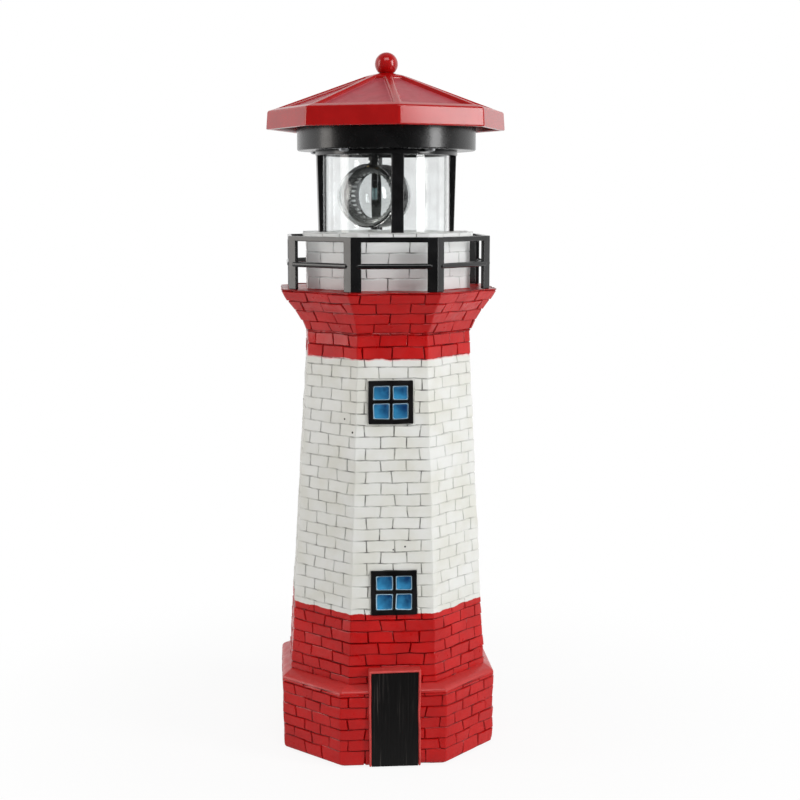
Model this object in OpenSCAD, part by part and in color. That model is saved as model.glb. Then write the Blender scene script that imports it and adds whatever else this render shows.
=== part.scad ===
// Garden lighthouse ornament: an octagonal brick tower with a lift-out lantern head.
// The head holds a cell, a small motor and a gear train that turns a two-lens beacon.
// Origin: centre of the footprint on the ground. +Z up, the door faces -Y. Millimetres.

/* [Tower] */
// Gap between the ground and the bottom edge of the casting, taken up by the feet
tower_lift = 0.8; // [0.5:0.1:2]
// Height of the plinth up to its outer top edge
plinth_h = 38.2; // [30:0.2:50]
// Distance from the axis to the front face of the plinth at its top
plinth_apothem = 55.5; // [52:0.5:58]
// Half width of the front face of the plinth
plinth_half = 27.0; // [24:0.5:29]
// Height of the sloped shoulder between plinth and shaft
shoulder_h = 3.6; // [2:0.2:6]
// Height of the tapering shaft
shaft_h = 164.4; // [150:0.2:200]
// Distance from the axis to the front face at the foot of the shaft
shaft_apothem = 50.8; // [48:0.2:51]
// Half width of the front face at the foot of the shaft
shaft_half = 22.2; // [20:0.2:23]
// Distance from the axis to the front face at the collar
collar_apothem = 41.8; // [41:0.2:44]
// Half width of the front face at the collar
collar_half = 17.6; // [17:0.1:18.5]
// Height of the straight collar under the flare
collar_h = 12.0; // [8:0.5:20]
// Height of the flared corbel
flare_h = 21.8; // [16:0.2:30]
// Distance from the axis to the gallery edge
gallery_apothem = 54.7; // [53.5:0.2:58]
// Wall of the casting
tower_wall_t = 3.2; // [2.4:0.1:4]

/* [Gallery] */
// Height from the gallery floor to the deck top
drum_h = 28.5; // [26:0.5:36]
// Distance from the axis to the faces of the brick drum
drum_apothem = 41.6; // [41.4:0.1:43]
// Distance from the axis to the edge of the deck slab
deck_apothem = 43.0; // [42.8:0.1:45]
// Thickness of the deck slab
deck_t = 2.8; // [2.4:0.1:4]
// Thickness of the gallery floor
floor_t = 4.0; // [3.4:0.1:6]
// Distance from the axis to the outside of the railing
rail_apothem = 51.2; // [49.5:0.1:51.5]
// Height of the railing
rail_h = 26.8; // [22:0.2:28]
// Thickness of the flat railing posts
rail_t = 2.0; // [1.6:0.1:2.6]
// Width of each flat post beside a corner
rail_post_w = 5.0; // [3.5:0.1:7]
// Height of the top rail
top_rail_h = 2.5; // [1.8:0.1:4]
// Diameter of the middle bar
mid_rail_d = 2.7; // [2.2:0.1:3.2]
// Height of the middle bar's axis above the gallery floor
mid_rail_z = 12.7; // [9:0.1:16]

/* [Door and windows] */
// Width of the door panel
door_w = 23.8; // [18:0.2:28]
// Height of the door's top above the ground
door_top = 50.0; // [44:0.5:60]
// Width of the moulded rim round the door
door_rim = 1.6; // [1:0.1:3]
// How far the door surround stands out from the plinth face
door_proud = 1.0; // [0.6:0.1:2]
// Width of a window frame
window_w = 22.4; // [18:0.2:26]
// Height of a window frame
window_h = 21.8; // [18:0.2:26]
// Width of the frame bars
window_bar = 2.3; // [1.5:0.1:3]
// How far a frame stands out from the wall
window_proud = 1.2; // [0.6:0.1:2]
// Depth of the shallow seat of each window in the wall
window_seat = 0.8; // [0.4:0.1:1.4]
// Height of the lower window's centre above the ground
lower_window_z = 89.5; // [80:0.5:120]
// Height of the upper window's centre above the ground
upper_window_z = 185.7; // [140:0.1:186]
// Sideways place of the upper window
upper_window_x = -1.2; // [-3:0.1:3]

/* [Lantern] */
// Height from the deck to the black housing
lantern_h = 41.1; // [39:0.1:50]
// Outer radius of the clear cylinder
glass_r = 33.0; // [32.4:0.1:33.2]
// Wall of the clear cylinder
glass_t = 1.6; // [1:0.1:2]
// Width of the four cage posts
post_w = 6.2; // [4:0.1:8]
// Thickness of the posts at the deck
post_t_low = 2.2; // [1.6:0.1:2.6]
// Thickness of the posts under the collar
post_t_top = 3.2; // [2.2:0.1:3.4]
// Height of the collar that joins the posts
cage_collar_h = 2.5; // [2:0.1:4]
// Turn of the cage about the tower's axis
cage_turn = 4.7; // [-20:0.1:20]
// Radius of the round seat in the deck
seat_r = 38.6; // [38.4:0.1:39]
// Thickness of the seat's flange
seat_t = 2.0; // [1.6:0.1:2.2]
// Radius of the spigot that plugs into the tower
spigot_r = 34.2; // [33.8:0.1:34.6]
// Depth of the spigot below the flange
spigot_h = 13.0; // [8:0.5:18]

/* [Roof] */
// Radius of the black housing
pan_r = 46.0; // [45.8:0.1:47.5]
// Wall of the black housing
pan_t = 2.0; // [1.6:0.1:2.2]
// Height of the housing that shows below the brim
pan_show = 10.6; // [10:0.1:14]
// Corner radius of the brim
brim_r = 61.9; // [58:0.1:66]
// Height of the brim
brim_h = 9.3; // [8:0.1:12]
// Rise of the roof from the brim to the finial's neck
roof_rise = 19.5; // [19:0.1:24]
// Wall of the roof
roof_t = 2.2; // [2:0.1:2.6]
// Turn of the roof about the tower's axis
roof_turn = 1.2; // [-20:0.1:20]
// Depth of the recessed panels
panel_depth = 1.1; // [0.8:0.1:1.3]
// Width of the raised hip on each side of its line
hip_w = 2.6; // [1.6:0.1:4]
// Radius of the finial ball
ball_r = 5.9; // [4:0.1:8]

/* [Beacon] */
// Offset of the beacon's axis from the lantern's axis
beacon_x = -6.0; // [-7:0.1:-5]
// Turn of the beacon at rest
beacon_turn = -34.5; // [-90:0.5:90]
// Radius of the barrel between the lenses
barrel_r = 16.2; // [15:0.1:16.4]
// Length of the barrel
barrel_l = 13.3; // [12:0.1:14]
// Radius of the opening through the barrel
barrel_bore = 11.4; // [9:0.1:12]
// Outer radius of the clear domes
lens_r = 15.7; // [14.6:0.1:15.9]
// Wall of the domes
lens_t = 1.5; // [1:0.1:1.8]
// Height of the beacon's centre above the deck
beacon_z = 18.3; // [18.2:0.1:21]
// Radius of the hollow shaft
shaft_r = 3.2; // [3:0.1:3.6]
// Radius of the pivot pin under the barrel
pivot_r = 1.5; // [1.2:0.1:2]

/* [Gear train] */
// Tooth size, pitch diameter per tooth
gear_module = 0.8; // [0.76:0.02:0.82]
// Teeth on the beacon gear
beacon_teeth = 36; // [34:1:36]
// Teeth on the large idler wheel
idler_teeth = 30; // [28:1:30]
// Teeth on the motor pinion and on the small idler wheel
pinion_teeth = 12; // [12:1:13]
// Face width of the wheels
gear_face = 2.6; // [2:0.1:3]
// Radius of the idler's axle
axle_r = 1.0; // [0.8:0.1:1.3]

/* [Electronics] */
// Radius of the motor can
motor_r = 12.2; // [10:0.1:12.4]
// Height of the motor can
motor_h = 12.3; // [9:0.1:12.4]
// Radius of the cell
cell_r = 7.1; // [5:0.1:7.2]
// Length of the cell
cell_l = 50.0; // [44:0.5:50.5]
// Thickness of the circuit board
board_t = 1.6; // [1:0.1:2]
// Travel of the switch slider
switch_travel = 4.0; // [2:0.5:5]

/* [Fits] */
// Radial running clearance of shafts
run_fit = 0.05; // [0.02:0.01:0.1]
// Clearance between pieces that move past each other
clear = 0.3; // [0.2:0.05:0.4]
// Clearance of pieces that are glued or plugged together
plug_fit = 0.1; // [0.05:0.05:0.2]

/* [Hidden] */

$fn = 64;
eps = 0.01;
octant = 45;
quarters = [0, 90, 180, 270];
diagonals = [45, 135, 225, 315];
half_octant = octant / 2;
face_angles = [for (i = [0:7]) octant * i];
corner_angles = [for (i = [0:7]) octant * i + half_octant];
oct_tan = tan(half_octant);
oct_cos = cos(half_octant);

// Levels of the tower
z_shoulder = tower_lift + plinth_h;
z_shaft = z_shoulder + shoulder_h;
z_collar = z_shaft + shaft_h;
z_flare = z_collar + collar_h;
z_gallery = z_flare + flare_h;
z_deck = z_gallery + drum_h;

// Rings of the casting from the ground up: [height, half width, apothem]
bottom_round = 2.6;
bottom_ease = 0.8;
bottom_cut = 1.6;
ease_cut = 0.4;
plinth_batter = 0.7;
plinth_foot = plinth_apothem - plinth_batter;
shoulder_round = 1.6;
shoulder_cut = 0.9;
lip_h = 1.2;
lip_cut = 0.2;
gallery_half = gallery_apothem * oct_tan;
flare_low = 0.28;
flare_low_out = 2.9;
flare_high = 0.84;
flare_high_in = 1.7;
corner_share = 0.7;
outer_rings = [
  [tower_lift, plinth_half - bottom_cut * corner_share, plinth_foot - bottom_cut],
  [tower_lift + bottom_ease, plinth_half - ease_cut * corner_share, plinth_foot - ease_cut],
  [tower_lift + bottom_round, plinth_half, plinth_foot],
  [z_shoulder, plinth_half, plinth_apothem],
  [z_shoulder + shoulder_round, plinth_half - shoulder_cut * corner_share, plinth_apothem - shoulder_cut],
  [z_shaft, shaft_half, shaft_apothem],
  [z_collar, collar_half, collar_apothem],
  [z_flare, collar_half, collar_apothem],
  [z_flare + flare_h * flare_low, collar_half + flare_low_out * oct_tan, collar_apothem + flare_low_out],
  [z_flare + flare_h * flare_high, gallery_half - flare_high_in * oct_tan, gallery_apothem - flare_high_in],
  [z_gallery - lip_h, gallery_half, gallery_apothem - lip_cut],
  [z_gallery, gallery_half, gallery_apothem]
];
z_hollow_top = z_gallery - floor_t;
plinth_wall_t = tower_wall_t + 2;
plinth_inner_half = plinth_half - tower_wall_t * oct_tan - 1;
inner_rings = [
  [tower_lift - 1, plinth_inner_half, plinth_apothem - plinth_wall_t],
  [z_shoulder - tower_wall_t, plinth_inner_half, plinth_apothem - plinth_wall_t],
  [z_shaft, shaft_half - tower_wall_t * oct_tan, shaft_apothem - tower_wall_t],
  [z_collar, collar_half - tower_wall_t * oct_tan, collar_apothem - tower_wall_t],
  [z_hollow_top, collar_half - tower_wall_t * oct_tan, collar_apothem - tower_wall_t]
];

// Front wall of the shaft
shaft_slope = (shaft_apothem - collar_apothem) / shaft_h;
shaft_lean = atan(shaft_slope);
function wall_y(z) = -(shaft_apothem - (z - z_shaft) * shaft_slope);
door_seat = 0.2;
door_inset = 0.4;

// Socket of the lantern head in the drum
socket_r = spigot_r + clear;
seat_gap = 0.2;
z_seat = z_deck - seat_t;
z_spigot = z_seat - spigot_h;
base_disc_t = 4.0;

// Base cover, its bosses and feet
cover_t = 2.4;
z_cover = tower_lift + 0.4;
cover_clear = 0.4;
boss_r = 6.0;
boss_h = 18;
cover_boss_at = (inner_rings[0][1] + inner_rings[0][2]) / sqrt(2) - boss_r + 0.8;
base_screw_r = 1.5;
base_screw_head_r = 2.9;
base_screw_head_h = 1.5;
base_screw_l = 12;
foot_r = 7;
foot_at = 34;

// Lantern
z_pan = z_deck + lantern_h;
groove_d = 1.4;
z_groove = z_deck - groove_d;
glass_in = glass_r - glass_t;
glass_mid = glass_r - glass_t / 2;
cage_in = glass_r + plug_fit;
post_r_low = cage_in + post_t_low;
post_r_top = cage_in + post_t_top;
collar_lip = 0.3;
cage_peg_at = cage_in + (post_r_top + collar_lip - cage_in) / 2;
cage_peg_r = 1.2;
cage_peg_h = 1.6;
pivot_boss_r = 3.5;
pivot_boss_h = 1.0;
pivot_depth = 2.0;
spigot_wall = 3.2;
seal_r = 0.95;
seal_at = socket_r - seal_r - run_fit;
z_seal = z_spigot + 6;

// Roof
z_brim = z_pan + pan_show;
z_eaves = z_brim + brim_h;
z_peak = z_eaves + roof_rise;
neck_r = 3.3;
brim_draft = 0.7;
z_curl = z_eaves + roof_rise * 0.195;
curl_r = brim_r * 0.77;
z_facet = z_eaves + roof_rise * 0.303;
facet_r = brim_r * 0.683;
z_crown = z_eaves + roof_rise * 0.923;
crown_r = brim_r * 0.166;
roof_rings = [
  [z_brim, brim_r], [z_eaves, brim_r - brim_draft], [z_curl, curl_r],
  [z_facet, facet_r], [z_crown, crown_r], [z_peak, neck_r]
];
hollow_ease = 0.6;
roof_hollow = [
  [z_brim - 1, brim_r - roof_t - hollow_ease], [z_eaves - roof_t, brim_r - roof_t - 2 * hollow_ease],
  [z_curl - roof_t, curl_r - hollow_ease], [z_facet - roof_t, facet_r - hollow_ease],
  [z_crown - roof_t - hollow_ease, crown_r], [z_peak - roof_t - 2 * hollow_ease, neck_r]
];
facet_low = [brim_r * 0.72 * oct_cos, z_eaves + roof_rise * 0.2556];
facet_top = [crown_r * oct_cos, z_crown];
facet_run = norm(facet_top - facet_low);
facet_slope = atan((facet_top[1] - facet_low[1]) / (facet_low[0] - facet_top[0]));
panel_margin = 0.6;
boss_drop = panel_depth / cos(facet_slope) + clear;
panel_top_gap = 2.0;
z_ball = z_peak + sqrt(ball_r * ball_r - neck_r * neck_r) - 0.4;
finial_peg_r = 1.6;
finial_peg_h = 3.0;

// Housing under the roof
pan_floor_t = 2.0;
z_floor = z_pan + pan_floor_t;
pan_in = pan_r - pan_t;
pan_wall_h = pan_show + brim_h - 0.2;
screw_angles = [25, 155, 234, 298];
screw_at = pan_in - 4.1;
screw_boss_r = 3.4;
screw_boss_h = 11.4;
roof_screw_r = 1.3;
roof_screw_head_r = 2.6;
roof_screw_head_h = 1.2;
roof_screw_l = 20;

// Gear train: beacon gear, idler and motor pinion in one chain
beacon_pitch = gear_module * beacon_teeth / 2;
idler_pitch = gear_module * idler_teeth / 2;
pinion_pitch = gear_module * pinion_teeth / 2;
beacon_at = [beacon_x, 0];
idler_dir = -30;
motor_dir = 60;
idler_at = beacon_at + (beacon_pitch + pinion_pitch) * [cos(idler_dir), sin(idler_dir)];
motor_at = idler_at + (idler_pitch + pinion_pitch) * [cos(motor_dir), sin(motor_dir)];
bush_flange_t = 0.8;
z_beacon_gear = z_floor + bush_flange_t + clear;
z_idler_low = z_floor + clear;
z_idler_wheel = z_beacon_gear + gear_face + 0.9;
z_plate = z_idler_wheel + gear_face + 1.7;
plate_t = 1.6;
z_motor = z_plate + plate_t;
idler_hub_r = axle_r + 1.2;
bush_r = shaft_r + 1.4;
bush_flange_w = 1.2;
shaft_bore = shaft_r - 1.4;
stem_r = shaft_bore - clear;
pillar_r = 2.5;
pillars = [[-20, 14], [-12, -20], [31, -19], [33, 9]];
plate_outline = [[-23, -8], [-15, -23], [34, -22], [36, 10], [27, 17], [-23, 17]];
motor_shaft_r = 1.0;
motor_screw_at = 8.0;
small_screw_r = 0.8;
small_head_r = 1.6;
small_head_h = 1.0;
small_screw_l = 6;
small_screw_fit = 0.02;
motor_screw_head_h = 0.7;

// Cell in its cradle: the end walls hold the contacts, the side walls the sleeve
cell_y = 27.6;
cell_lift = 1.1;
cell_cap_r = 2.7;
cell_cap_h = 1.4;
z_cell = z_floor + cell_lift + cell_r;
holder_t = 1.2;
holder_side_l = 36;
holder_end_w = 10;
holder_end_h = cell_r + 3;
holder_floor = cell_lift + cell_r - 3;
contact_l = 2.4;
contact_t = 0.5;
contact_w = 8;
spring_r = 4;
button_r = 2;
end_x = cell_l / 2 + contact_l + clear;

// Circuit board on four posts of the housing
board_low = [-41, -15];
board_size = [15, 24];
board_gap = 3.2;
board_post_r = 1.6;
board_post_in = 3;
z_board = z_floor + board_gap;
chip = [5, 6, 1.6];
chip_at = [4, 4];
capacitor_r = 2.5;
capacitor_h = 6;
capacitor_at = [10.5, 15];
coil_r = 2.2;
coil_h = 3.6;
coil_at = [4.4, 14];

// Slide switch behind the cell
switch_w = 11;
switch_depth = 5.6;
switch_h = 6.4;
switch_back = 2.4;
switch_z = z_floor + 3.6;
switch_in = pan_in - 6.4;
thumb_w = 3.2;
thumb_h = 2.4;
thumb_proud = 2.0;
grip_r = 0.4;
grip_step = 1.1;
switch_reach = (switch_travel + thumb_w) / 2 + clear;

// Lamp on the end of its stem
led_r = 1.5;
led_body_h = 4.9;
led_drop = 1.0;
stem_wall = 0.7;
stem_cap_h = 0.8;
stem_cap_w = 1.5;
lead_r = 0.6;
board_top = z_board + board_t;

// Beacon
z_beacon = z_deck + beacon_z;
lens_lip = 3.0;
lens_rim = 1.2;
lip_t = 1.2;
lip_r = lens_r - lens_t + 0.2;
barrel_gap = 0.5;
hub_wall = 1.4;
hub_h = barrel_r + 1.6;
gear_collar_h = 1.0;

red = "firebrick";
white = "whitesmoke";
black = "#1c1c1e";
steel = "silver";
clear_plastic = [0.85, 0.92, 0.95, 0.35];

// ---------------------------------------------------------------- shared shapes

// Corners of a square with cut corners, counter-clockwise
function cut_square(a, b) = [
  [a, -b], [b, -a], [b, a], [a, b], [-a, b], [-b, a], [-b, -a], [-a, -b]
];

// Corners of a regular octagon with a corner in front
function octagon(r) = [for (i = [0:7]) r * [cos(octant * i - 90), sin(octant * i - 90)]];

// Closed solid through stacked outlines of n corners each
module loft(levels, outlines) {
  n = len(outlines[0]);
  top = len(levels) - 1;
  points = [for (i = [0:top], p = outlines[i]) [p[0], p[1], levels[i]]];
  sides = [
    for (i = [0:top - 1], j = [0:n - 1])
      let (k = (j + 1) % n) [i * n + j, (i + 1) * n + j, (i + 1) * n + k, i * n + k]
  ];
  low_face = [for (j = [0:n - 1]) j];
  top_face = [for (j = [n - 1:-1:0]) top * n + j];
  polyhedron(points, concat([low_face], sides, [top_face]));
}

module tower_loft(rings) {
  loft([for (r = rings) r[0]], [for (r = rings) cut_square(r[1], r[2])]);
}

module roof_loft(rings) {
  loft([for (r = rings) r[0]], [for (r = rings) octagon(r[1])]);
}

module ring(r_out, r_in, h) {
  difference() {
    cylinder(r = r_out, h = h);
    translate([0, 0, -1]) cylinder(r = r_in, h = h + 2);
  }
}

// Pan-head screw that points up, head below z = 0
module screw(r, l, head_r, head_h) {
  translate([0, 0, -eps]) cylinder(r = r, h = l + eps);
  difference() {
    translate([0, 0, -head_h]) cylinder(r = head_r, h = head_h);
    for (turn = [0, 90])
      rotate([0, 0, turn])
        translate([-head_r * 0.6, -r * 0.22, -head_h - 1]) cube([head_r * 1.2, r * 0.44, 1 + head_h * 0.5]);
  }
}

// Repeats its child at angles on a circle
module around(angles, r) {
  for (angle = angles) rotate([0, 0, angle]) translate([r, 0, 0]) children();
}

// Puts its child on the front wall of the shaft: x along, y up the wall, z outwards
module on_wall(x, z) {
  translate([x, wall_y(z), z]) rotate([90 - shaft_lean, 0, 0]) children();
}

// Round tube through points, smooth between them, with eight sides
function spline(p, i, t) =
  let (n = len(p) - 1, a = p[max(i - 1, 0)], b = p[i], c = p[min(i + 1, n)], d = p[min(i + 2, n)])
  0.5 * (2 * b + (c - a) * t + (2 * a - 5 * b + 4 * c - d) * t * t + (3 * b - a - 3 * c + d) * t * t * t);

module lead(p, r) {
  steps = 4;
  sides = 8;
  path = concat([for (i = [0:len(p) - 2], s = [0:steps - 1]) spline(p, i, s / steps)], [p[len(p) - 1]]);
  last = len(path) - 1;
  dirs = [for (i = [0:last]) let (v = path[min(i + 1, last)] - path[max(i - 1, 0)]) v / norm(v)];
  guide = [0.31, 0.17, 0.93];
  points = [
    for (i = [0:last])
      let (u = cross(dirs[i], guide) / norm(cross(dirs[i], guide)), w = cross(dirs[i], u))
        for (j = [0:sides - 1]) path[i] + r * (cos(360 * j / sides) * u + sin(360 * j / sides) * w)
  ];
  tube = [
    for (i = [0:last - 1], j = [0:sides - 1])
      let (k = (j + 1) % sides, a = i * sides + j, b = i * sides + k)
        each [[a, a + sides, b + sides], [a, b + sides, b]]
  ];
  start = [for (j = [0:sides - 1]) j];
  end = [for (j = [sides - 1:-1:0]) last * sides + j];
  polyhedron(points, concat([start], tube, [end]));
}

// Spur wheel with involute teeth; a tooth is centred on +X
pressure = 20;
addendum = 0.8;
dedendum = 1.1;
tooth_play = 0.08;
flank_steps = 4;

function involute_angle(base, r) =
  let (a = acos(min(1, base / r))) tan(a) * 180 / PI - a;

function tooth(teeth) =
  let (
    pitch = gear_module * teeth / 2,
    base = pitch * cos(pressure),
    tip = pitch + gear_module * addendum,
    root = pitch - gear_module * dedendum,
    play = tooth_play / pitch * 180 / PI,
    half = 90 / teeth - play + involute_angle(base, pitch),
    low = max(base, root + eps),
    flank = [for (i = [0:flank_steps])
      let (r = low + (tip - low) * i / flank_steps) [r, half - involute_angle(base, r)]],
    foot = [[root, flank[0][1] * 1.05]]
  ) concat(
    [for (p = concat(foot, flank)) [p[0], -p[1]]],
    [for (i = [flank_steps:-1:0]) flank[i]],
    foot
  );

module wheel_outline(teeth) {
  shape = tooth(teeth);
  polygon([for (i = [0:teeth - 1], p = shape)
    p[0] * [cos(p[1] + 360 * i / teeth), sin(p[1] + 360 * i / teeth)]]);
}

module wheel(teeth, face, turn) {
  rotate([0, 0, turn]) linear_extrude(face) wheel_outline(teeth);
}

// Turns that put tooth against gap at rest
idler_low_turn = idler_dir + 180 + 180 / pinion_teeth;
motor_turn = motor_dir + 180 + 180 / pinion_teeth;

// ---------------------------------------------------------------- tower

module tower_shaped() {
  difference() {
    union() {
      tower_loft(outer_rings);
      loft([z_gallery - eps, z_deck - deck_t + eps],
        [for (i = [0, 1]) cut_square(drum_apothem * oct_tan, drum_apothem)]);
      loft([z_deck - deck_t, z_deck],
        [for (i = [0, 1]) cut_square(deck_apothem * oct_tan, deck_apothem)]);
      door_surround();
    }
    tower_loft(inner_rings);
  }
  intersection() {
    around(diagonals, cover_boss_at)
      translate([0, 0, z_cover + cover_t]) cylinder(r = boss_r, h = boss_h);
    tower_loft(outer_rings);
  }
}

module door_surround() {
  face = plinth_apothem + door_proud;
  back = shaft_apothem - tower_wall_t + 0.5;
  translate([-door_w / 2 - door_rim, -face, tower_lift])
    cube([door_w + 2 * door_rim, face - back, door_top + door_rim - tower_lift]);
}

module tower_wall() {
  color(red) difference() {
    tower_shaped();
    translate([0, 0, z_hollow_top - 1]) cylinder(r = socket_r, h = z_deck);
    translate([0, 0, z_seat - seat_gap]) cylinder(r = seat_r + clear, h = seat_t + 1);
    translate([-door_w / 2, -plinth_apothem - door_proud - 1, 0])
      cube([door_w, door_proud + door_seat + 1, door_top]);
    window_recess(0, lower_window_z);
    window_recess(upper_window_x, upper_window_z);
    around(corner_angles, rail_peg_at)
      translate([0, 0, z_gallery - rail_peg_h - clear])
        cylinder(r = rail_peg_r + plug_fit, h = rail_peg_h + 1);
    around(diagonals, cover_boss_at)
      translate([0, 0, z_cover - 1]) cylinder(r = base_screw_r, h = base_screw_l + 3);
  }
}

module window_recess(x, z) {
  on_wall(x, z)
    translate([-window_w / 2 - plug_fit, -window_h / 2 - plug_fit, -window_seat])
      cube([window_w + 2 * plug_fit, window_h + 2 * plug_fit, window_seat + 3]);
}

module base_cover() {
  low = inner_rings[0];
  color("dimgray") difference() {
    loft([z_cover, z_cover + cover_t],
      [for (i = [0, 1]) cut_square(low[1] - cover_clear * oct_tan, low[2] - cover_clear)]);
    around(diagonals, cover_boss_at) {
      translate([0, 0, z_cover - 1]) cylinder(r = base_screw_r + clear, h = cover_t + 2);
      translate([0, 0, z_cover - 1])
        cylinder(r = base_screw_head_r + clear, h = base_screw_head_h + 1.1);
    }
  }
}

module base_screws() {
  color(steel) around(diagonals, cover_boss_at)
    translate([0, 0, z_cover + base_screw_head_h + 0.1])
      screw(base_screw_r, base_screw_l, base_screw_head_r, base_screw_head_h);
}

module rubber_feet() {
  color("black") around(quarters, foot_at) {
    cylinder(r1 = foot_r - 0.4, r2 = foot_r, h = z_cover);
  }
}

module door() {
  depth = door_proud + door_seat - door_inset;
  color(black) translate([-door_w / 2 + plug_fit, -plinth_apothem - door_proud + door_inset, tower_lift])
    cube([door_w - 2 * plug_fit, depth, door_top - tower_lift - plug_fit]);
}

module window_frame() {
  pane_w = (window_w - 3 * window_bar) / 2;
  pane_h = (window_h - 3 * window_bar) / 2;
  difference() {
    translate([-window_w / 2, -window_h / 2, -window_seat])
      cube([window_w, window_h, window_seat + window_proud]);
    for (sx = [-1, 1], sy = [-1, 1])
      translate([sx * (pane_w + window_bar) / 2, sy * (pane_h + window_bar) / 2, 0])
        cube([pane_w, pane_h, 10], center = true);
  }
}

module window_panes() {
  pane_w = (window_w - 3 * window_bar) / 2 - 2 * plug_fit;
  pane_h = (window_h - 3 * window_bar) / 2 - 2 * plug_fit;
  for (sx = [-1, 1], sy = [-1, 1])
    translate([sx * (window_w - window_bar) / 4, sy * (window_h - window_bar) / 4,
      (window_proud - window_seat) / 2])
      cube([pane_w, pane_h, window_seat + window_proud], center = true);
}

module upper_window_frame() {
  color(black) on_wall(upper_window_x, upper_window_z) window_frame();
}

module upper_window_panes() {
  color("royalblue") on_wall(upper_window_x, upper_window_z) window_panes();
}

module lower_window_frame() {
  color(black) on_wall(0, lower_window_z) window_frame();
}

module lower_window_panes() {
  color("royalblue") on_wall(0, lower_window_z) window_panes();
}

// ---------------------------------------------------------------- railing

rail_peg_r = 1.2;
rail_peg_h = 2.5;
rail_corner_r = (rail_apothem - rail_t / 2) / oct_cos;
rail_peg_at = rail_corner_r - 0.3;

module railing() {
  face_w = 2 * rail_apothem * oct_tan;
  window = face_w - 2 * rail_post_w;
  color(black) {
    difference() {
      rotate([0, 0, half_octant]) cylinder_at(rail_apothem / oct_cos, rail_h);
      rotate([0, 0, half_octant]) translate([0, 0, -1])
        cylinder_at((rail_apothem - rail_t) / oct_cos, rail_h + 2);
      around(face_angles, rail_apothem)
        translate([-5, -window / 2, z_gallery - 1])
          cube([10, window, rail_h - top_rail_h + 1]);
    }
    around(face_angles, rail_apothem - rail_t / 2)
      translate([0, face_w / 2 - 1.4, z_gallery + mid_rail_z]) rotate([90, 0, 0])
        cylinder(r = mid_rail_d / 2, h = face_w - 2.8);
    around(corner_angles, rail_peg_at)
      translate([0, 0, z_gallery - rail_peg_h]) cylinder(r = rail_peg_r, h = rail_peg_h + 1);
  }
}

module cylinder_at(r, h) {
  translate([0, 0, z_gallery]) cylinder(r = r, h = h, $fn = 8);
}

// ---------------------------------------------------------------- lantern

module cage_places() {
  rotate([0, 0, cage_turn]) around(quarters, 0) children();
}

module lantern_base() {
  color(white) difference() {
    union() {
      translate([0, 0, z_seat]) cylinder(r = seat_r, h = seat_t);
      translate([0, 0, z_spigot]) cylinder(r = spigot_r, h = spigot_h + eps);
      translate([beacon_x, 0, z_deck - eps]) cylinder(r = pivot_boss_r, h = pivot_boss_h + eps);
    }
    translate([0, 0, z_spigot - 1])
      cylinder(r = spigot_r - spigot_wall, h = z_deck - base_disc_t - z_spigot + 1);
    translate([0, 0, z_groove]) ring(glass_r + plug_fit, glass_in - plug_fit, 5);
    cage_places() translate([glass_mid, -post_w / 2 - plug_fit, z_groove])
      cube([post_r_low + plug_fit - glass_mid, post_w + 2 * plug_fit, 5]);
    translate([beacon_x, 0, z_deck - pivot_depth - clear]) cylinder(r = pivot_r + run_fit, h = 5);
    translate([0, 0, z_seal - seal_r - plug_fit])
      ring(spigot_r + 1, seal_at - seal_r - run_fit, 2 * (seal_r + plug_fit));
  }
}

module seal_ring() {
  color("black") translate([0, 0, z_seal]) rotate_extrude()
    translate([seal_at, 0]) circle(r = seal_r, $fn = 24);
}

module lantern_posts() {
  z_top = z_pan - cage_collar_h;
  color(black) {
    cage_places() rotate([90, 0, 0]) translate([0, 0, -post_w / 2]) linear_extrude(post_w)
      polygon([
        [cage_in, z_groove], [post_r_low, z_groove], [post_r_low, z_deck],
        [post_r_top, z_top + eps], [cage_in, z_top + eps]
      ]);
    translate([0, 0, z_top]) ring(post_r_top + collar_lip, cage_in, cage_collar_h);
    rotate([0, 0, cage_turn + octant]) around(quarters, cage_peg_at)
      translate([0, 0, z_pan - 1]) cylinder(r = cage_peg_r, h = cage_peg_h + 1);
  }
}

module glass_cylinder() {
  color(clear_plastic) translate([0, 0, z_groove])
    ring(glass_r, glass_in, z_pan - z_groove - 0.2);
}

// ---------------------------------------------------------------- housing and roof

module electronics_pan() {
  color(black) difference() {
    union() {
      translate([0, 0, z_pan]) cylinder(r = pan_r, h = pan_floor_t);
      translate([0, 0, z_pan]) ring(pan_r, pan_in, pan_wall_h);
      around(screw_angles, screw_at) translate([0, 0, z_floor - eps])
        cylinder(r = screw_boss_r, h = screw_boss_h);
      for (p = pillars) translate([p[0], p[1], z_floor - eps])
        cylinder(r = pillar_r, h = z_plate - z_floor + eps);
      for (x = [board_post_in, board_size[0] - board_post_in],
          y = [board_post_in, board_size[1] - board_post_in])
        translate([board_low[0] + x, board_low[1] + y, z_floor - eps])
          cylinder(r = board_post_r, h = z_board - z_floor + eps);
    }
    around(screw_angles, screw_at) translate([0, 0, z_pan - 1])
      cylinder(r = roof_screw_r + clear, h = screw_boss_h + pan_floor_t + 2);
    for (p = pillars) translate([p[0], p[1], z_plate - small_screw_l])
      cylinder(r = small_screw_r, h = small_screw_l + 1);
    translate([beacon_x, 0, z_pan - 1]) cylinder(r = bush_r + plug_fit / 2, h = pan_floor_t + 2);
    translate([idler_at[0], idler_at[1], z_floor - 1.4]) cylinder(r = axle_r + run_fit, h = 5);
    rotate([0, 0, cage_turn + octant]) around(quarters, cage_peg_at)
      translate([0, 0, z_pan - 1]) cylinder(r = cage_peg_r + plug_fit, h = cage_peg_h + 1.2);
    translate([-switch_reach, pan_in - 3 * pan_t, switch_z - thumb_h / 2 - clear])
      cube([2 * switch_reach, 6 * pan_t, thumb_h + 2 * clear]);
  }
}

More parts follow.
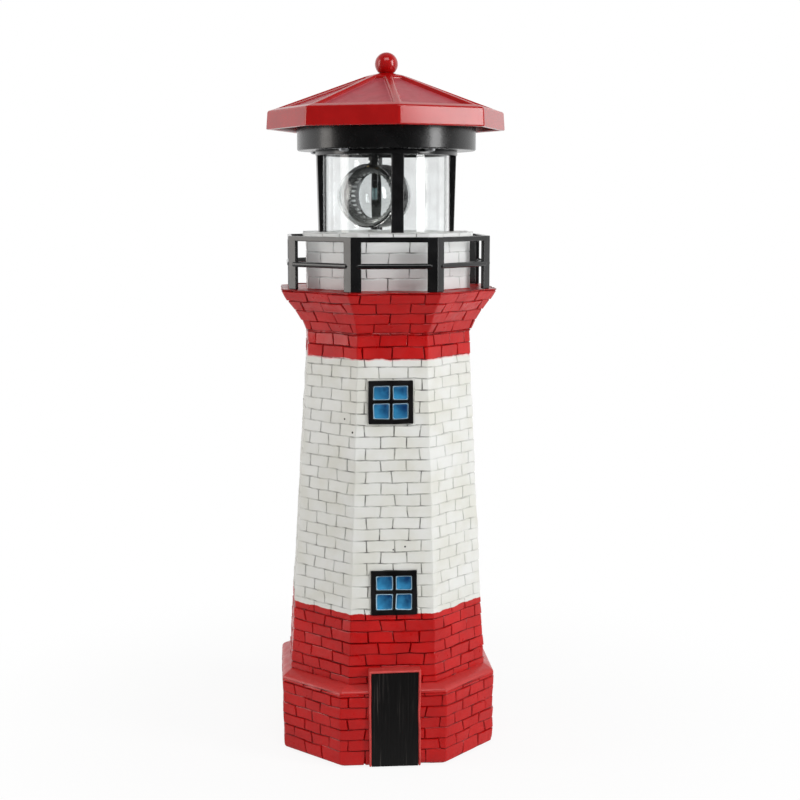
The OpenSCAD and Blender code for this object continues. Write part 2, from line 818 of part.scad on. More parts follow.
module facet(i) {
  rotate([0, 0, roof_turn - 90 + half_octant + octant * i])
    translate([facet_low[0], 0, facet_low[1]]) rotate([0, facet_slope, 0]) children();
}

// Outline of a recessed panel; x runs down the slope, 0 at the facet's low line
function panel_outline(margin) =
  let (
    low = -panel_margin - margin,
    top = -facet_run + panel_top_gap + margin,
    low_half = (facet_low[0] + low * cos(facet_slope)) * oct_tan - hip_w - margin,
    top_half = (facet_low[0] + top * cos(facet_slope)) * oct_tan - hip_w - margin
  ) [[low, -low_half], [low, low_half], [top, max(top_half, 0.3)], [top, -max(top_half, 0.3)]];

module roof() {
  color(red) {
    difference() {
      rotate([0, 0, roof_turn]) roof_loft(roof_rings);
      rotate([0, 0, roof_turn]) roof_loft(roof_hollow);
      for (i = [0:7]) facet(i) translate([0, 0, -panel_depth])
        linear_extrude(5) polygon(panel_outline(0));
      translate([0, 0, z_peak - finial_peg_h]) cylinder(r = finial_peg_r + plug_fit, h = 10);
    }
    difference() {
      intersection() {
        around(screw_angles, screw_at)
          translate([0, 0, z_floor + screw_boss_h + 0.2]) cylinder(r = screw_boss_r, h = 30);
        rotate([0, 0, roof_turn]) translate([0, 0, -boss_drop]) roof_loft(roof_rings);
      }
      around(screw_angles, screw_at)
        translate([0, 0, z_floor]) cylinder(r = roof_screw_r, h = roof_screw_l - pan_floor_t + 0.6);
    }
  }
}

module finial() {
  color(red) {
    difference() {
      translate([0, 0, z_ball]) sphere(r = ball_r);
      translate([0, 0, z_peak - ball_r]) cylinder(r = 2 * ball_r, h = ball_r);
    }
    translate([0, 0, z_peak - finial_peg_h + clear]) cylinder(r = finial_peg_r, h = finial_peg_h);
  }
}

module solar_panels() {
  thick = panel_depth - 0.2;
  color("midnightblue") for (i = [2, 3, 4, 5]) facet(i)
    translate([0, 0, -panel_depth]) linear_extrude(thick) polygon(panel_outline(clear));
}

module roof_screws() {
  color(steel) around(screw_angles, screw_at) translate([0, 0, z_pan])
    screw(roof_screw_r, roof_screw_l, roof_screw_head_r, roof_screw_head_h);
}

// ---------------------------------------------------------------- gearbox

module shaft_bush() {
  color("goldenrod") translate([beacon_x, 0, 0]) {
    translate([0, 0, z_pan - 1]) ring(bush_r, shaft_r + run_fit, pan_floor_t + 1 + eps);
    translate([0, 0, z_floor]) ring(bush_r + bush_flange_w, shaft_r + run_fit, bush_flange_t);
  }
}

module gearbox_plate() {
  color("ivory") difference() {
    translate([0, 0, z_plate]) linear_extrude(plate_t) polygon(plate_outline);
    for (p = pillars) translate([p[0], p[1], z_plate - 1]) cylinder(r = small_screw_r + 0.1, h = 5);
    translate([beacon_x, 0, z_plate - 1]) cylinder(r = stem_r + plug_fit, h = 5);
    translate([idler_at[0], idler_at[1], z_plate - 1]) cylinder(r = axle_r + run_fit, h = 5);
    translate([motor_at[0], motor_at[1], z_plate - 1]) {
      cylinder(r = motor_boss_r + plug_fit, h = 5);
      around([0, 180], motor_screw_at) cylinder(r = small_screw_r + 0.1, h = 5);
    }
  }
}

module gearbox_screws() {
  color(steel) for (p = pillars) translate([p[0], p[1], z_motor]) mirror([0, 0, 1])
    screw(small_screw_r - small_screw_fit, small_screw_l, small_head_r, small_head_h);
}

motor_boss_r = 3.1;
motor_boss_h = 1.2;

module motor() {
  color(steel) translate([motor_at[0], motor_at[1], z_motor]) difference() {
    union() {
      cylinder(r = motor_r, h = motor_h - 1);
      cylinder(r = motor_r - 1, h = motor_h);
      translate([0, 0, -motor_boss_h]) cylinder(r = motor_boss_r, h = motor_boss_h + eps);
    }
    translate([0, 0, -5]) cylinder(r = motor_shaft_r + run_fit, h = 9);
    around([0, 180], motor_screw_at) translate([0, 0, -1]) cylinder(r = small_screw_r, h = 4);
  }
}

module motor_screws() {
  color(steel) translate([motor_at[0], motor_at[1], z_plate])
    around([0, 180], motor_screw_at)
      screw(small_screw_r - small_screw_fit, plate_t + 2, small_head_r, motor_screw_head_h);
}

module idler_pin() {
  color(steel) translate([idler_at[0], idler_at[1], z_floor - 1.3])
    cylinder(r = axle_r, h = z_motor - z_floor + 1.3);
}

module idler_gear() {
  color("ivory") translate([idler_at[0], idler_at[1], 0]) difference() {
    union() {
      translate([0, 0, z_idler_low]) wheel(pinion_teeth, z_idler_wheel - z_idler_low + eps, idler_low_turn);
      translate([0, 0, z_idler_wheel]) wheel(idler_teeth, gear_face, motor_dir);
      translate([0, 0, z_idler_wheel]) cylinder(r = idler_hub_r, h = z_plate - clear - z_idler_wheel);
    }
    translate([0, 0, z_floor - 1]) cylinder(r = axle_r + run_fit, h = 20);
  }
}

module motor_pinion() {
  z_low = z_idler_wheel - 0.5;
  color("goldenrod") translate([motor_at[0], motor_at[1], 0]) {
    translate([0, 0, z_low]) wheel(pinion_teeth, gear_face + 1, motor_turn);
    translate([0, 0, z_low]) cylinder(r = motor_shaft_r, h = z_motor + 3 - z_low);
  }
}

module beacon_gear() {
  color("ivory") translate([beacon_x, 0, z_beacon_gear]) difference() {
    union() {
      wheel(beacon_teeth, gear_face, idler_dir);
      cylinder(r = shaft_r + hub_wall, h = gear_face + gear_collar_h);
    }
    translate([0, 0, -1]) cylinder(r = shaft_r, h = gear_face + 4);
  }
}

// ---------------------------------------------------------------- electronics

module battery() {
  color("seagreen") translate([-cell_l / 2, cell_y, z_cell]) rotate([0, 90, 0]) {
    cylinder(r = cell_r, h = cell_l - cell_cap_h);
    cylinder(r = cell_cap_r, h = cell_l);
  }
}

module battery_holder() {
  side_w = 2 * (cell_r + holder_t + clear);
  color(black) difference() {
    union() {
      translate([-end_x - holder_t, cell_y - holder_end_w / 2, z_floor])
        cube([2 * (end_x + holder_t), holder_end_w, holder_end_h]);
      translate([-holder_side_l / 2, cell_y - side_w / 2, z_floor])
        cube([holder_side_l, side_w, cell_r]);
    }
    translate([-end_x, cell_y, z_cell]) rotate([0, 90, 0])
      cylinder(r = cell_r + run_fit, h = 2 * end_x);
    translate([-end_x, cell_y - holder_end_w, z_floor + holder_floor])
      cube([2 * end_x, 2 * holder_end_w, 2 * holder_end_h]);
  }
}

module battery_contacts() {
  tab_z = z_floor + holder_floor + 0.2;
  reach = end_x - contact_t - cell_l / 2 + eps;
  color(steel) {
    for (x = [-end_x, end_x - contact_t])
      translate([x, cell_y - contact_w / 2, tab_z]) cube([contact_t, contact_w, contact_w]);
    translate([cell_l / 2, cell_y, z_cell]) rotate([0, 90, 0]) cylinder(r = button_r, h = reach);
    translate([-end_x + contact_t - eps, cell_y, z_cell]) rotate([0, 90, 0])
      cylinder(r1 = spring_r, r2 = cell_cap_r, h = reach);
  }
}

module circuit_board() {
  color("darkgreen") translate([board_low[0], board_low[1], z_board])
    cube([board_size[0], board_size[1], board_t]);
}

module on_board(at) {
  translate([board_low[0] + at[0], board_low[1] + at[1], board_top]) children();
}

module board_parts() {
  color("black") on_board(chip_at) cube(chip);
  color("slateblue") on_board(capacitor_at) cylinder(r = capacitor_r, h = capacitor_h);
  color("darkolivegreen") on_board(coil_at) cylinder(r = coil_r, h = coil_h);
}

module led_stem() {
  z_low = z_beacon + led_body_h - led_drop;
  color(black) translate([beacon_x, 0, 0]) difference() {
    union() {
      translate([0, 0, z_low]) cylinder(r = stem_r, h = z_motor - z_low + eps);
      translate([0, 0, z_motor]) cylinder(r = stem_r + stem_cap_w, h = stem_cap_h);
    }
    translate([0, 0, z_beacon]) cylinder(r = stem_r - stem_wall, h = 2 * (z_motor - z_beacon));
  }
}

module led() {
  color("lightyellow") translate([beacon_x, 0, z_beacon - led_drop]) {
    cylinder(r = led_r, h = led_body_h);
    sphere(r = led_r, $fn = 32);
  }
}

module switch_body() {
  color(black) difference() {
    translate([-switch_w / 2, switch_in, z_floor]) cube([switch_w, switch_depth, switch_h]);
    translate([-switch_reach, switch_in + switch_back, switch_z - thumb_h / 2 - clear])
      cube([2 * switch_reach, switch_depth, thumb_h + 2 * clear]);
  }
}

module switch_slider() {
  y_in = switch_in + switch_back + clear;
  y_out = pan_r + thumb_proud;
  color("dimgray") translate([-switch_travel / 2, 0, switch_z - thumb_h / 2]) {
    translate([-thumb_w / 2, y_in, 0]) cube([thumb_w, y_out - y_in, thumb_h]);
    for (side = [-1, 0, 1]) translate([side * grip_step, y_out, 0])
      cylinder(r = grip_r, h = thumb_h, $fn = 24);
  }
}

// Short leads from the cell and from the lamp to the circuit board
module wires() {
  cell_lead = [
    [-end_x + 1.6, cell_y - holder_end_w / 2 + 0.3, z_floor + holder_floor + 3.5],
    [-29, 19, z_floor + 11], [-31, 12, z_floor + 9.5],
    [-33, 6, board_top + 2], [-34, 5, board_top + lead_r]
  ];
  lamp_lead = [
    [beacon_x, 0, z_motor + 1.6], [-10, -3, z_motor + 4], [-20, -5, z_motor + 3],
    [-28, -8, z_motor - 1], [-30, -9, board_top + lead_r]
  ];
  color("red") lead(cell_lead, lead_r);
  color("black") lead(lamp_lead, lead_r);
}

// ---------------------------------------------------------------- beacon

module beacon_places() {
  translate([beacon_x, 0, z_beacon]) rotate([0, 0, beacon_turn]) rotate([90, 0, 0]) children();
}

module beacon_housing() {
  z_pivot = z_deck - pivot_depth - z_beacon;
  z_top = z_beacon_gear + gear_face + gear_collar_h - z_beacon;
  color(black) difference() {
    union() {
      beacon_places() translate([0, 0, -barrel_l / 2]) cylinder(r = barrel_r, h = barrel_l);
      translate([beacon_x, 0, z_beacon]) {
        cylinder(r = shaft_r, h = z_top);
        cylinder(r = shaft_r + hub_wall, h = hub_h);
        translate([0, 0, z_pivot]) cylinder(r = pivot_r, h = -z_pivot - barrel_bore - 1);
        translate([0, 0, -barrel_r - barrel_gap]) cylinder(r = pivot_r + 1, h = barrel_r - barrel_bore - 1);
      }
    }
    beacon_places() {
      translate([0, 0, -barrel_l]) cylinder(r = barrel_bore, h = 2 * barrel_l);
      for (side = [0, 180]) rotate([side, 0, 0])
        translate([0, 0, barrel_l / 2 - lens_lip - clear]) cylinder(r = lip_r + plug_fit, h = 9);
    }
    translate([beacon_x, 0, z_beacon]) cylinder(r = shaft_bore, h = 60);
  }
}

// Clear hollow dome on its rim, with a lip that plugs into the barrel
module lens() {
  difference() {
    union() {
      intersection() {
        sphere(r = lens_r);
        cylinder(r = lens_r + 1, h = lens_r + 1);
      }
      cylinder(r = barrel_r, h = lens_rim);
      translate([0, 0, -lens_lip]) cylinder(r = lip_r, h = lens_lip + eps);
    }
    sphere(r = lens_r - lens_t);
    translate([0, 0, -lens_lip - 1]) cylinder(r = lip_r - lip_t, h = lens_lip + 1 + eps);
  }
}

module front_lens() {
  color(clear_plastic) beacon_places() translate([0, 0, barrel_l / 2]) lens();
}

module rear_lens() {
  color(clear_plastic) beacon_places() rotate([180, 0, 0]) translate([0, 0, barrel_l / 2]) lens();
}

// ---------------------------------------------------------------- output

tower_wall();
base_cover();
base_screws();
rubber_feet();
door();
upper_window_frame();
upper_window_panes();
lower_window_frame();
lower_window_panes();
railing();
lantern_base();
seal_ring();
lantern_posts();
glass_cylinder();
electronics_pan();
roof();
finial();
solar_panels();
roof_screws();
shaft_bush();
gearbox_plate();
gearbox_screws();
motor();
motor_screws();
idler_pin();
circuit_board();
board_parts();
battery();
battery_holder();
battery_contacts();
led_stem();
led();
switch_body();
wires();
beacon_housing();
front_lens();
rear_lens();
beacon_gear();
idler_gear();
motor_pinion();
switch_slider();
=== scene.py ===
"""Garden lighthouse ornament: the finished surfaces of every piece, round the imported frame.

Shapes are worked in millimetres in the frame's own axes and are stored in metres: +Z up, the
door faces -Y, the ground is at zero. Each sub-assembly is a class that holds its sizes, builds
its meshes and dresses them.
"""

import sys

import logging
import math
import random
from collections.abc import Callable, Iterable
from dataclasses import dataclass, field
from enum import Enum

import bmesh
import bpy
from mathutils import Matrix, Vector, noise


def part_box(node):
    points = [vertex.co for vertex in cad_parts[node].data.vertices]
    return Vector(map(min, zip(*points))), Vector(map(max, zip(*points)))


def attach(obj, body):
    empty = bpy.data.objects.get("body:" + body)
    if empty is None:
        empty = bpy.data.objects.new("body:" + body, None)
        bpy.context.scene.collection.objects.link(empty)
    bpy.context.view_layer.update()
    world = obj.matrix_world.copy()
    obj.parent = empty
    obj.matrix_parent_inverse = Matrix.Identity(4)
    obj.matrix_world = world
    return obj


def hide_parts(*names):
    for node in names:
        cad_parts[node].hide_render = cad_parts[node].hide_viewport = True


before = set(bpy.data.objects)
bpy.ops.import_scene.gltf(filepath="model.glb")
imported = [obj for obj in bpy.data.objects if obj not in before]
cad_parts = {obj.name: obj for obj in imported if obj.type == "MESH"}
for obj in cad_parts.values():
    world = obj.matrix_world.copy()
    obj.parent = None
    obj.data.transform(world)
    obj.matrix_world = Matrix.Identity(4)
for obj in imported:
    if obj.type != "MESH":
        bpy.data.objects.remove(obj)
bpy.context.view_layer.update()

MM = 0.001
TAU = 2 * math.pi
NOISE_SEED = 11
LOG = logging.getLogger("lighthouse")

UP = Vector((0, 0, 1))
ACROSS = Vector((1, 0, 0))
FRONT = Vector((0, -1, 0))
OCTAGON = math.tan(TAU / 16)  # half a side of a regular octagon, for an apothem of 1
SIDES = 8
SIDE_TURN = 45

Rgb = tuple[int, int, int]
Flat = tuple[float, float]
Socket = bpy.types.NodeSocket


class Body(Enum):
    """The bodies that the scene's own pieces ride on."""

    TOWER = "tower"
    HEAD = "lantern_head"
    BEACON = "beacon"


class Joint(Enum):
    """The two kinds of joint between bricks, as the casting's edges are marked."""

    BED = 1
    UPRIGHT = 2


def linear(colour: Rgb) -> tuple[float, float, float, float]:
    """A screen colour from 0 to 255 as the shader's linear colour.

    Args:
        colour: Red, green and blue from 0 to 255.

    Returns:
        The same colour in linear light, with full alpha.
    """
    parts = [c / 255 for c in colour]
    return (*[p / 12.92 if p <= 0.04 else ((p + 0.055) / 1.055) ** 2.4 for p in parts], 1.0)


def box_mm(node: str) -> tuple[Vector, Vector]:
    """The lowest and highest corner of a frame node, in millimetres."""
    low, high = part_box(node)
    return low / MM, high / MM


def stand(name: str, data: bpy.types.ID) -> bpy.types.Object:
    """Puts a mesh, lamp or camera into the scene, at the origin.

    Args:
        name: The object's name.
        data: What the object shows.

    Returns:
        The new object.
    """
    obj = bpy.data.objects.new(name, data)
    bpy.context.scene.collection.objects.link(obj)
    return obj


# ---------------------------------------------------------------- finishes


class Wiring:
    """Adds nodes to one tree and links them."""

    def __init__(self, tree: bpy.types.NodeTree) -> None:
        """Takes the tree that the nodes go into."""
        self.tree = tree

    def add(self, kind: str, links: dict | None = None, **settings: object) -> bpy.types.Node:
        """Adds a node, with settings on it, and numbers or sockets on its inputs.

        Args:
            kind: The node's type.
            links: Input name or index to a socket or a plain value.
            **settings: Properties of the node itself.

        Returns:
            The new node.
        """
        node = self.tree.nodes.new(kind)
        for key, value in settings.items():
            setattr(node, key, value)
        for key, value in (links or {}).items():
            if isinstance(value, bpy.types.NodeSocket):
                self.tree.links.new(value, node.inputs[key])
            else:
                node.inputs[key].default_value = value
        return node

    def sums(self, operation: str, first: object, second: object = 0.0, third: object = 0.0) -> Socket:
        """One step of arithmetic on sockets or numbers."""
        links = {0: first, 1: second, 2: third}
        return self.add("ShaderNodeMath", links, operation=operation).outputs[0]

    def rays(self) -> tuple[Socket, Socket]:
        """Tells rays apart by what they have met.

        Returns:
            1 for a ray that has met no gloss yet, and 1 for one that the camera sees by, also
            through clear plastic.
        """
        path = self.add("ShaderNodeLightPath").outputs
        straight = self.sums("LESS_THAN", path["Glossy Depth"], 0.5)
        through = self.sums("MULTIPLY", path["Is Transmission Ray"], straight)
        return straight, self.sums("MAXIMUM", path["Is Camera Ray"], through)


class Recipe(Wiring):
    """Wires one material's nodes round a Principled shader."""

    def __init__(self, name: str, colour: Rgb, roughness: float, **constants: float) -> None:
        """Makes the material with plain constants on the shader's own sockets.

        Args:
            name: The material's name.
            colour: Base colour where nothing else is linked.
            roughness: Plain roughness.
            **constants: Further sockets, with _ for the spaces in their names.
        """
        self.material = bpy.data.materials.new(name)
        self.material.use_nodes = True
        super().__init__(self.material.node_tree)
        self.shader = self.tree.nodes["Principled BSDF"]
        self.shader.inputs["Base Color"].default_value = linear(colour)
        self.shader.inputs["Roughness"].default_value = roughness
        for key, value in constants.items():
            self.shader.inputs[key.replace("_", " ")].default_value = value
        self.where = self.add("ShaderNodeTexCoord").outputs["Object"]
        self.normal: Socket | None = None

    def band(self, value: object, low: float, high: float) -> Socket:
        """0 below low, 1 above high, smooth between them."""
        links = {"Value": value, "From Min": low, "From Max": high}
        return self.add("ShaderNodeMapRange", links, interpolation_type="SMOOTHSTEP").outputs[0]

    def height(self) -> Socket:
        """The height above the ground in millimetres."""
        return self.sums("MULTIPLY", self.axis("Z"), 1 / MM)

    def axis(self, name: str) -> Socket:
        """One of the object's own coordinates, in metres."""
        return self.add("ShaderNodeSeparateXYZ", {0: self.where}).outputs[name]

    def grain(self, size: float, detail: float = 2.0, stretch: tuple = (1, 1, 1)) -> Socket:
        """Cloudy noise from 0 to 1.

        Args:
            size: Width of one cloud in millimetres.
            detail: Octaves of finer clouds on top.
            stretch: How much shorter the clouds are along each axis.

        Returns:
            The noise's factor.
        """
        place = self.add("ShaderNodeMapping", {"Vector": self.where, "Scale": stretch})
        links = {"Vector": place.outputs[0], "Scale": 1 / (size * MM), "Detail": detail}
        return self.add("ShaderNodeTexNoise", links).outputs["Fac"]

    def mix(self, share: object, low: object, high: object) -> Socket:
        """A colour between two.

        Args:
            share: 0 for the low colour, 1 for the high one, a number or a socket.
            low: A screen colour or a socket.
            high: A screen colour or a socket.

        Returns:
            The mixed colour.
        """
        node = self.add("ShaderNodeMix", data_type="RGBA")
        for key, value in ((0, share), (6, low), (7, high)):
            if isinstance(value, tuple):
                node.inputs[key].default_value = linear(value)
            elif isinstance(value, bpy.types.NodeSocket):
                self.tree.links.new(value, node.inputs[key])
            else:
                node.inputs[key].default_value = value
        return node.outputs[2]

    def paint(self, colour: Socket) -> None:
        """Sets what the shader shows as its colour."""
        self.tree.links.new(colour, self.shader.inputs["Base Color"])

    def cover(self, share: object, over: Socket) -> None:
        """Mixes a second shader over the first.

        Args:
            share: 0 for the first shader, 1 for the second, a number or a socket.
            over: The second shader.
        """
        links = {0: share, 1: self.shader.outputs[0], 2: over}
        both = self.add("ShaderNodeMixShader", links).outputs[0]
        self.tree.links.new(both, self.tree.nodes["Material Output"].inputs["Surface"])

    def shine(self, value: Socket, low: float, high: float) -> None:
        """Lets the roughness run from low to high with a factor.

        Args:
            value: The factor from 0 to 1.
            low: Roughness at 0.
            high: Roughness at 1.
        """
        links = {"Value": value, "To Min": low, "To Max": high}
        out = self.add("ShaderNodeMapRange", links).outputs[0]
        self.tree.links.new(out, self.shader.inputs["Roughness"])

    def relief(self, value: Socket, depth: float) -> None:
        """Adds fine relief on top of what the mesh has.

        Args:
            value: The relief from 0 to 1.
            depth: What 1 stands for, in millimetres.
        """
        links = {"Height": value, "Distance": depth * MM, "Strength": 1.0}
        if self.normal:
            links["Normal"] = self.normal
        self.normal = self.add("ShaderNodeBump", links).outputs[0]
        self.tree.links.new(self.normal, self.shader.inputs["Normal"])

    def attribute(self, name: str) -> Socket:
        """The value of a mesh attribute that the piece carries."""
        return self.add("ShaderNodeAttribute", attribute_name=name).outputs["Fac"]


@dataclass(frozen=True)
class Moulded:
    """Injection-moulded or painted plastic with a faint skin and uneven gloss."""

    name: str
    colour: Rgb
    roughness: float = 0.3
    grain: float = 0.5
    depth: float = 0.01
    mottle: float = 0.12
    coat: float = 0.0
    specular: float = 0.5

    def make(self) -> bpy.types.Material:
        """Builds the material.

        Returns:
            The finished material.
        """
        more = {"Coat_Weight": self.coat, "Coat_Roughness": 0.08, "Specular_IOR_Level": self.specular}
        recipe = Recipe(self.name, self.colour, self.roughness, **more)
        clouds = recipe.grain(9.0, 3.0)
        shade = tuple(int(c * (1 - self.mottle)) for c in self.colour)
        lift = tuple(min(255, int(c + (255 - c) * self.mottle * 0.25)) for c in self.colour)
        recipe.paint(recipe.mix(recipe.band(clouds, 0.3, 0.7), shade, lift))
        recipe.shine(recipe.grain(3.5, 3.0), self.roughness * 0.8, min(1.0, self.roughness * 1.25))
        recipe.relief(recipe.grain(self.grain, 3.0), self.depth)
        recipe.relief(recipe.grain(7.0, 1.0), self.depth * 3)
        return recipe.material


@dataclass(frozen=True)
class Metal:
    """Turned, drawn or plated metal with fine tool marks."""

    name: str
    colour: Rgb
    roughness: float = 0.28
    marks: tuple[float, float, float] = (1.0, 1.0, 9.0)

    def make(self) -> bpy.types.Material:
        """Builds the material.

        Returns:
            The finished material.
        """
        recipe = Recipe(self.name, self.colour, self.roughness, Metallic=1.0)
        worn = tuple(int(c * 0.72) for c in self.colour)
        recipe.paint(recipe.mix(recipe.band(recipe.grain(2.5, 4.0), 0.35, 0.75), self.colour, worn))
        lines = recipe.grain(1.2, 2.0, self.marks)
        recipe.shine(lines, self.roughness * 0.7, self.roughness * 1.5)
        recipe.relief(lines, 0.012)
        return recipe.material


@dataclass(frozen=True)
class ClearPlastic:
    """Polished clear plastic that lets lamps through to what it covers."""

    name: str
    tint: Rgb
    roughness: float = 0.02
    ior: float = 1.46

    def make(self) -> bpy.types.Material:
        """Builds the material.

        Returns:
            The finished material.
        """
        more = {"Transmission_Weight": 1.0, "IOR": self.ior}
        recipe = Recipe(self.name, self.tint, self.roughness, **more)
        haze = tuple(int(c * 0.96) for c in self.tint)
        recipe.paint(recipe.mix(recipe.band(recipe.grain(14.0), 0.3, 0.7), self.tint, haze))
        recipe.relief(recipe.grain(12.0), 0.02)
        lamps = recipe.add("ShaderNodeLightPath").outputs["Is Shadow Ray"]
        clear = recipe.add("ShaderNodeBsdfTransparent", {"Color": linear(self.tint)})
        recipe.cover(lamps, clear.outputs[0])
        return recipe.material


@dataclass(frozen=True)
class BrickPaint:
    """Red and white enamel brushed over cast bricks, dark where it thins in the joints, with painted shade in
    the white joints, a painted sheen on the ledge and painted light in the lighter white above the gallery.
    """

    name: str = "brick_enamel"
    red: Rgb = (180, 5, 5)
    red_light: Rgb = (194, 14, 13)
    red_joint: Rgb = (70, 3, 5)
    # Pinker red on the sloped ledge above the plinth: partly dust, partly a painted sheen of the light from
    # above.
    ledge_dust_and_sheen: Rgb = (190, 52, 50)
    white: Rgb = (224, 225, 222)
    white_warm: Rgb = (215, 215, 207)
    white_joint: Rgb = (34, 34, 31)
    blush: Rgb = (232, 190, 190)
    # Lighter, slightly cooler white above the gallery: painted light against the shade under the roof and
    # railing and the red light bounced onto it.
    gallery: Rgb = (236, 238, 237)
    base_line: float = 78.6
    collar_line: float = 207.0
    gallery_line: float = 240.95
    ledge_band: Flat = (39.4, 42.6)
    pore_gap: float = 13.0
    # Where the painted shade in the white joints fades out towards the side faces, and by how much.
    fade_from: float = 15.0
    fade_to: float = 23.0
    right_fade: float = 0.5
    left_fade: float = 0.25

    def make(self) -> bpy.types.Material:
        """Builds the material.

        Returns:
            The finished material.
        """
        more = {"Coat_Weight": 0.15, "Coat_Roughness": 0.1, "Specular_IOR_Level": 0.36}
        recipe = Recipe(self.name, self.red, 0.34, **more)
        ragged = recipe.sums("MULTIPLY_ADD", recipe.grain(7.0, 3.0), 2.6, -1.3)
        height = recipe.sums("ADD", recipe.height(), ragged)
        over_base = recipe.band(height, self.base_line - 0.2, self.base_line + 0.2)
        under_collar = recipe.band(height, self.collar_line + 0.2, self.collar_line - 0.2)
        over_gallery = recipe.band(recipe.height(), self.gallery_line - 0.1, self.gallery_line + 0.1)
        shaft = recipe.sums("MULTIPLY", over_base, under_collar)
        is_white = recipe.sums("MAXIMUM", shaft, over_gallery)
        clouds = recipe.band(recipe.grain(16.0, 4.0), 0.3, 0.7)
        red = recipe.mix(clouds, self.red, self.red_light)
        # The ledge above the plinth gets its pinker red: dust and a painted sheen.
        red = recipe.mix(self.between(recipe, recipe.height(), *self.ledge_band, 0.5), red, self.ledge_dust_and_sheen)
        white = recipe.mix(clouds, self.white, self.white_warm)
        under_edge = self.between(recipe, height, self.collar_line - 0.6, self.collar_line, 0.2)
        white = recipe.mix(under_edge, white, self.blush)
        # Above the gallery the white is lighter and cooler: painted light.
        white = recipe.mix(over_gallery, white, self.gallery)
        fade = recipe.band(recipe.grain(5.0, 3.0), 0.3, 0.68)
        groove = recipe.attribute("groove")
        # worn is the joint darkening: thin paint in the joints, and in the white also painted shade in the
        # grooves.
        worn = recipe.sums("MULTIPLY", groove, recipe.sums("MULTIPLY_ADD", fade, 0.65, 0.35))
        red = recipe.mix(worn, red, self.red_joint)
        # Painted shade in the white joints: full in front, fainter on the right and left faces, where the
        # lamps light into the joints.
        right = recipe.band(recipe.axis("X"), self.fade_from * MM, self.fade_to * MM)
        left = recipe.band(recipe.axis("X"), -self.fade_from * MM, -self.fade_to * MM)
        joint_shade_side = recipe.sums("MULTIPLY_ADD", right, -self.right_fade, 1.0)
        joint_shade_side = recipe.sums("SUBTRACT", joint_shade_side, recipe.sums("MULTIPLY", left, self.left_fade))
        dark = recipe.sums("MULTIPLY", recipe.sums("POWER", worn, 1.5), joint_shade_side)
        white = recipe.mix(dark, white, self.white_joint)
        links = {"Vector": recipe.where, "Scale": 1 / (self.pore_gap * MM)}
        pores = recipe.add("ShaderNodeTexVoronoi", links).outputs["Distance"]
        white = recipe.mix(recipe.band(pores, 0.055, 0.03), white, self.white_joint)
        recipe.paint(recipe.mix(is_white, red, white))
        recipe.shine(recipe.sums("ADD", is_white, recipe.grain(5.0, 3.0)), 0.12, 0.6)
        recipe.relief(recipe.grain(3.4, 3.0), 0.2)
        recipe.relief(recipe.grain(0.7, 2.0), 0.03)
        return recipe.material

    def between(self, recipe: Recipe, height: Socket, low: float, high: float, edge: float) -> Socket:
        """1 between two heights, with soft edges."""
        above = recipe.band(height, low - edge, low + edge)
        return recipe.sums("MULTIPLY", above, recipe.band(height, high + edge, high - edge))


@dataclass(frozen=True)
class PanePaint:
    """Blue enamel that pools dark in the middle of a pane, with a pale edge line."""

    name: str = "blue_enamel"
    blue: Rgb = (2, 44, 90)
    bright: Rgb = (58, 154, 206)
    rim: Rgb = (176, 212, 232)

    def make(self) -> bpy.types.Material:
        """Builds the material.

        Returns:
            The finished material.
        """
        more = {"Coat_Weight": 0.12, "Coat_Roughness": 0.05, "Specular_IOR_Level": 0.3}
        recipe = Recipe(self.name, self.blue, 0.24, **more)
        pool = recipe.band(recipe.grain(5.0, 2.0), 0.35, 0.72)
        low = recipe.attribute("low")
        blue = recipe.mix(recipe.sums("ADD", low, recipe.sums("MULTIPLY", pool, 0.3)), self.blue, self.bright)
        edge = recipe.band(recipe.attribute("rim"), 0.4, 0.6)
        recipe.paint(recipe.mix(edge, blue, self.rim))
        recipe.relief(recipe.grain(2.6), 0.05)
        return recipe.material


@dataclass(frozen=True)
class DoorPaint:
    """Nearly black paint rubbed over vertical wood grain."""

    name: str = "door_paint"
    dark: Rgb = (10, 8, 8)
    brown: Rgb = (72, 66, 62)

    def make(self) -> bpy.types.Material:
        """Builds the material.

        Returns:
            The finished material.
        """
        recipe = Recipe(self.name, self.dark, 0.42, Specular_IOR_Level=0.35)
        fibre = recipe.grain(1.1, 5.0, (1.0, 1.0, 0.05))
        broad = recipe.grain(4.5, 3.0, (1.0, 1.0, 0.12))
        rubbed = recipe.sums("MULTIPLY", recipe.band(fibre, 0.5, 0.72), recipe.band(broad, 0.4, 0.7))
        recipe.paint(recipe.mix(rubbed, self.dark, self.brown))
        recipe.shine(fibre, 0.3, 0.6)
        recipe.relief(fibre, 0.16)
        return recipe.material


@dataclass(frozen=True)
class SolarCells:
    """Dark silicon strips under clear resin, with silver collector lines."""

    name: str = "solar_cells"
    cell: Rgb = (10, 14, 40)
    sheen: Rgb = (24, 34, 84)
    line: Rgb = (150, 154, 160)
    strip: float = 5.4
    finger: float = 1.35

    def make(self) -> bpy.types.Material:
        """Builds the material.

        Returns:
            The finished material.
        """
        more = {"Coat_Weight": 0.25, "Coat_Roughness": 0.25, "Specular_IOR_Level": 0.3}
        recipe = Recipe(self.name, self.cell, 0.45, **more)
        crystals = recipe.add("ShaderNodeTexVoronoi", {"Vector": recipe.where, "Scale": 1 / (2.4 * MM)})
        silicon = recipe.mix(crystals.outputs["Color"], self.cell, self.sheen)
        lines = recipe.sums("MAXIMUM", self.every(recipe, "run", self.strip, 0.5),
                            self.every(recipe, "across", self.finger, 0.12))
        recipe.paint(recipe.mix(lines, silicon, self.line))
        recipe.relief(recipe.grain(4.0), 0.02)
        return recipe.material

    def every(self, recipe: Recipe, name: str, pitch: float, width: float) -> Socket:
        """Thin lines at an even pitch along a mesh attribute in millimetres."""
        share = recipe.sums("FRACT", recipe.sums("DIVIDE", recipe.attribute(name), pitch))
        return recipe.sums("LESS_THAN", share, width / pitch)


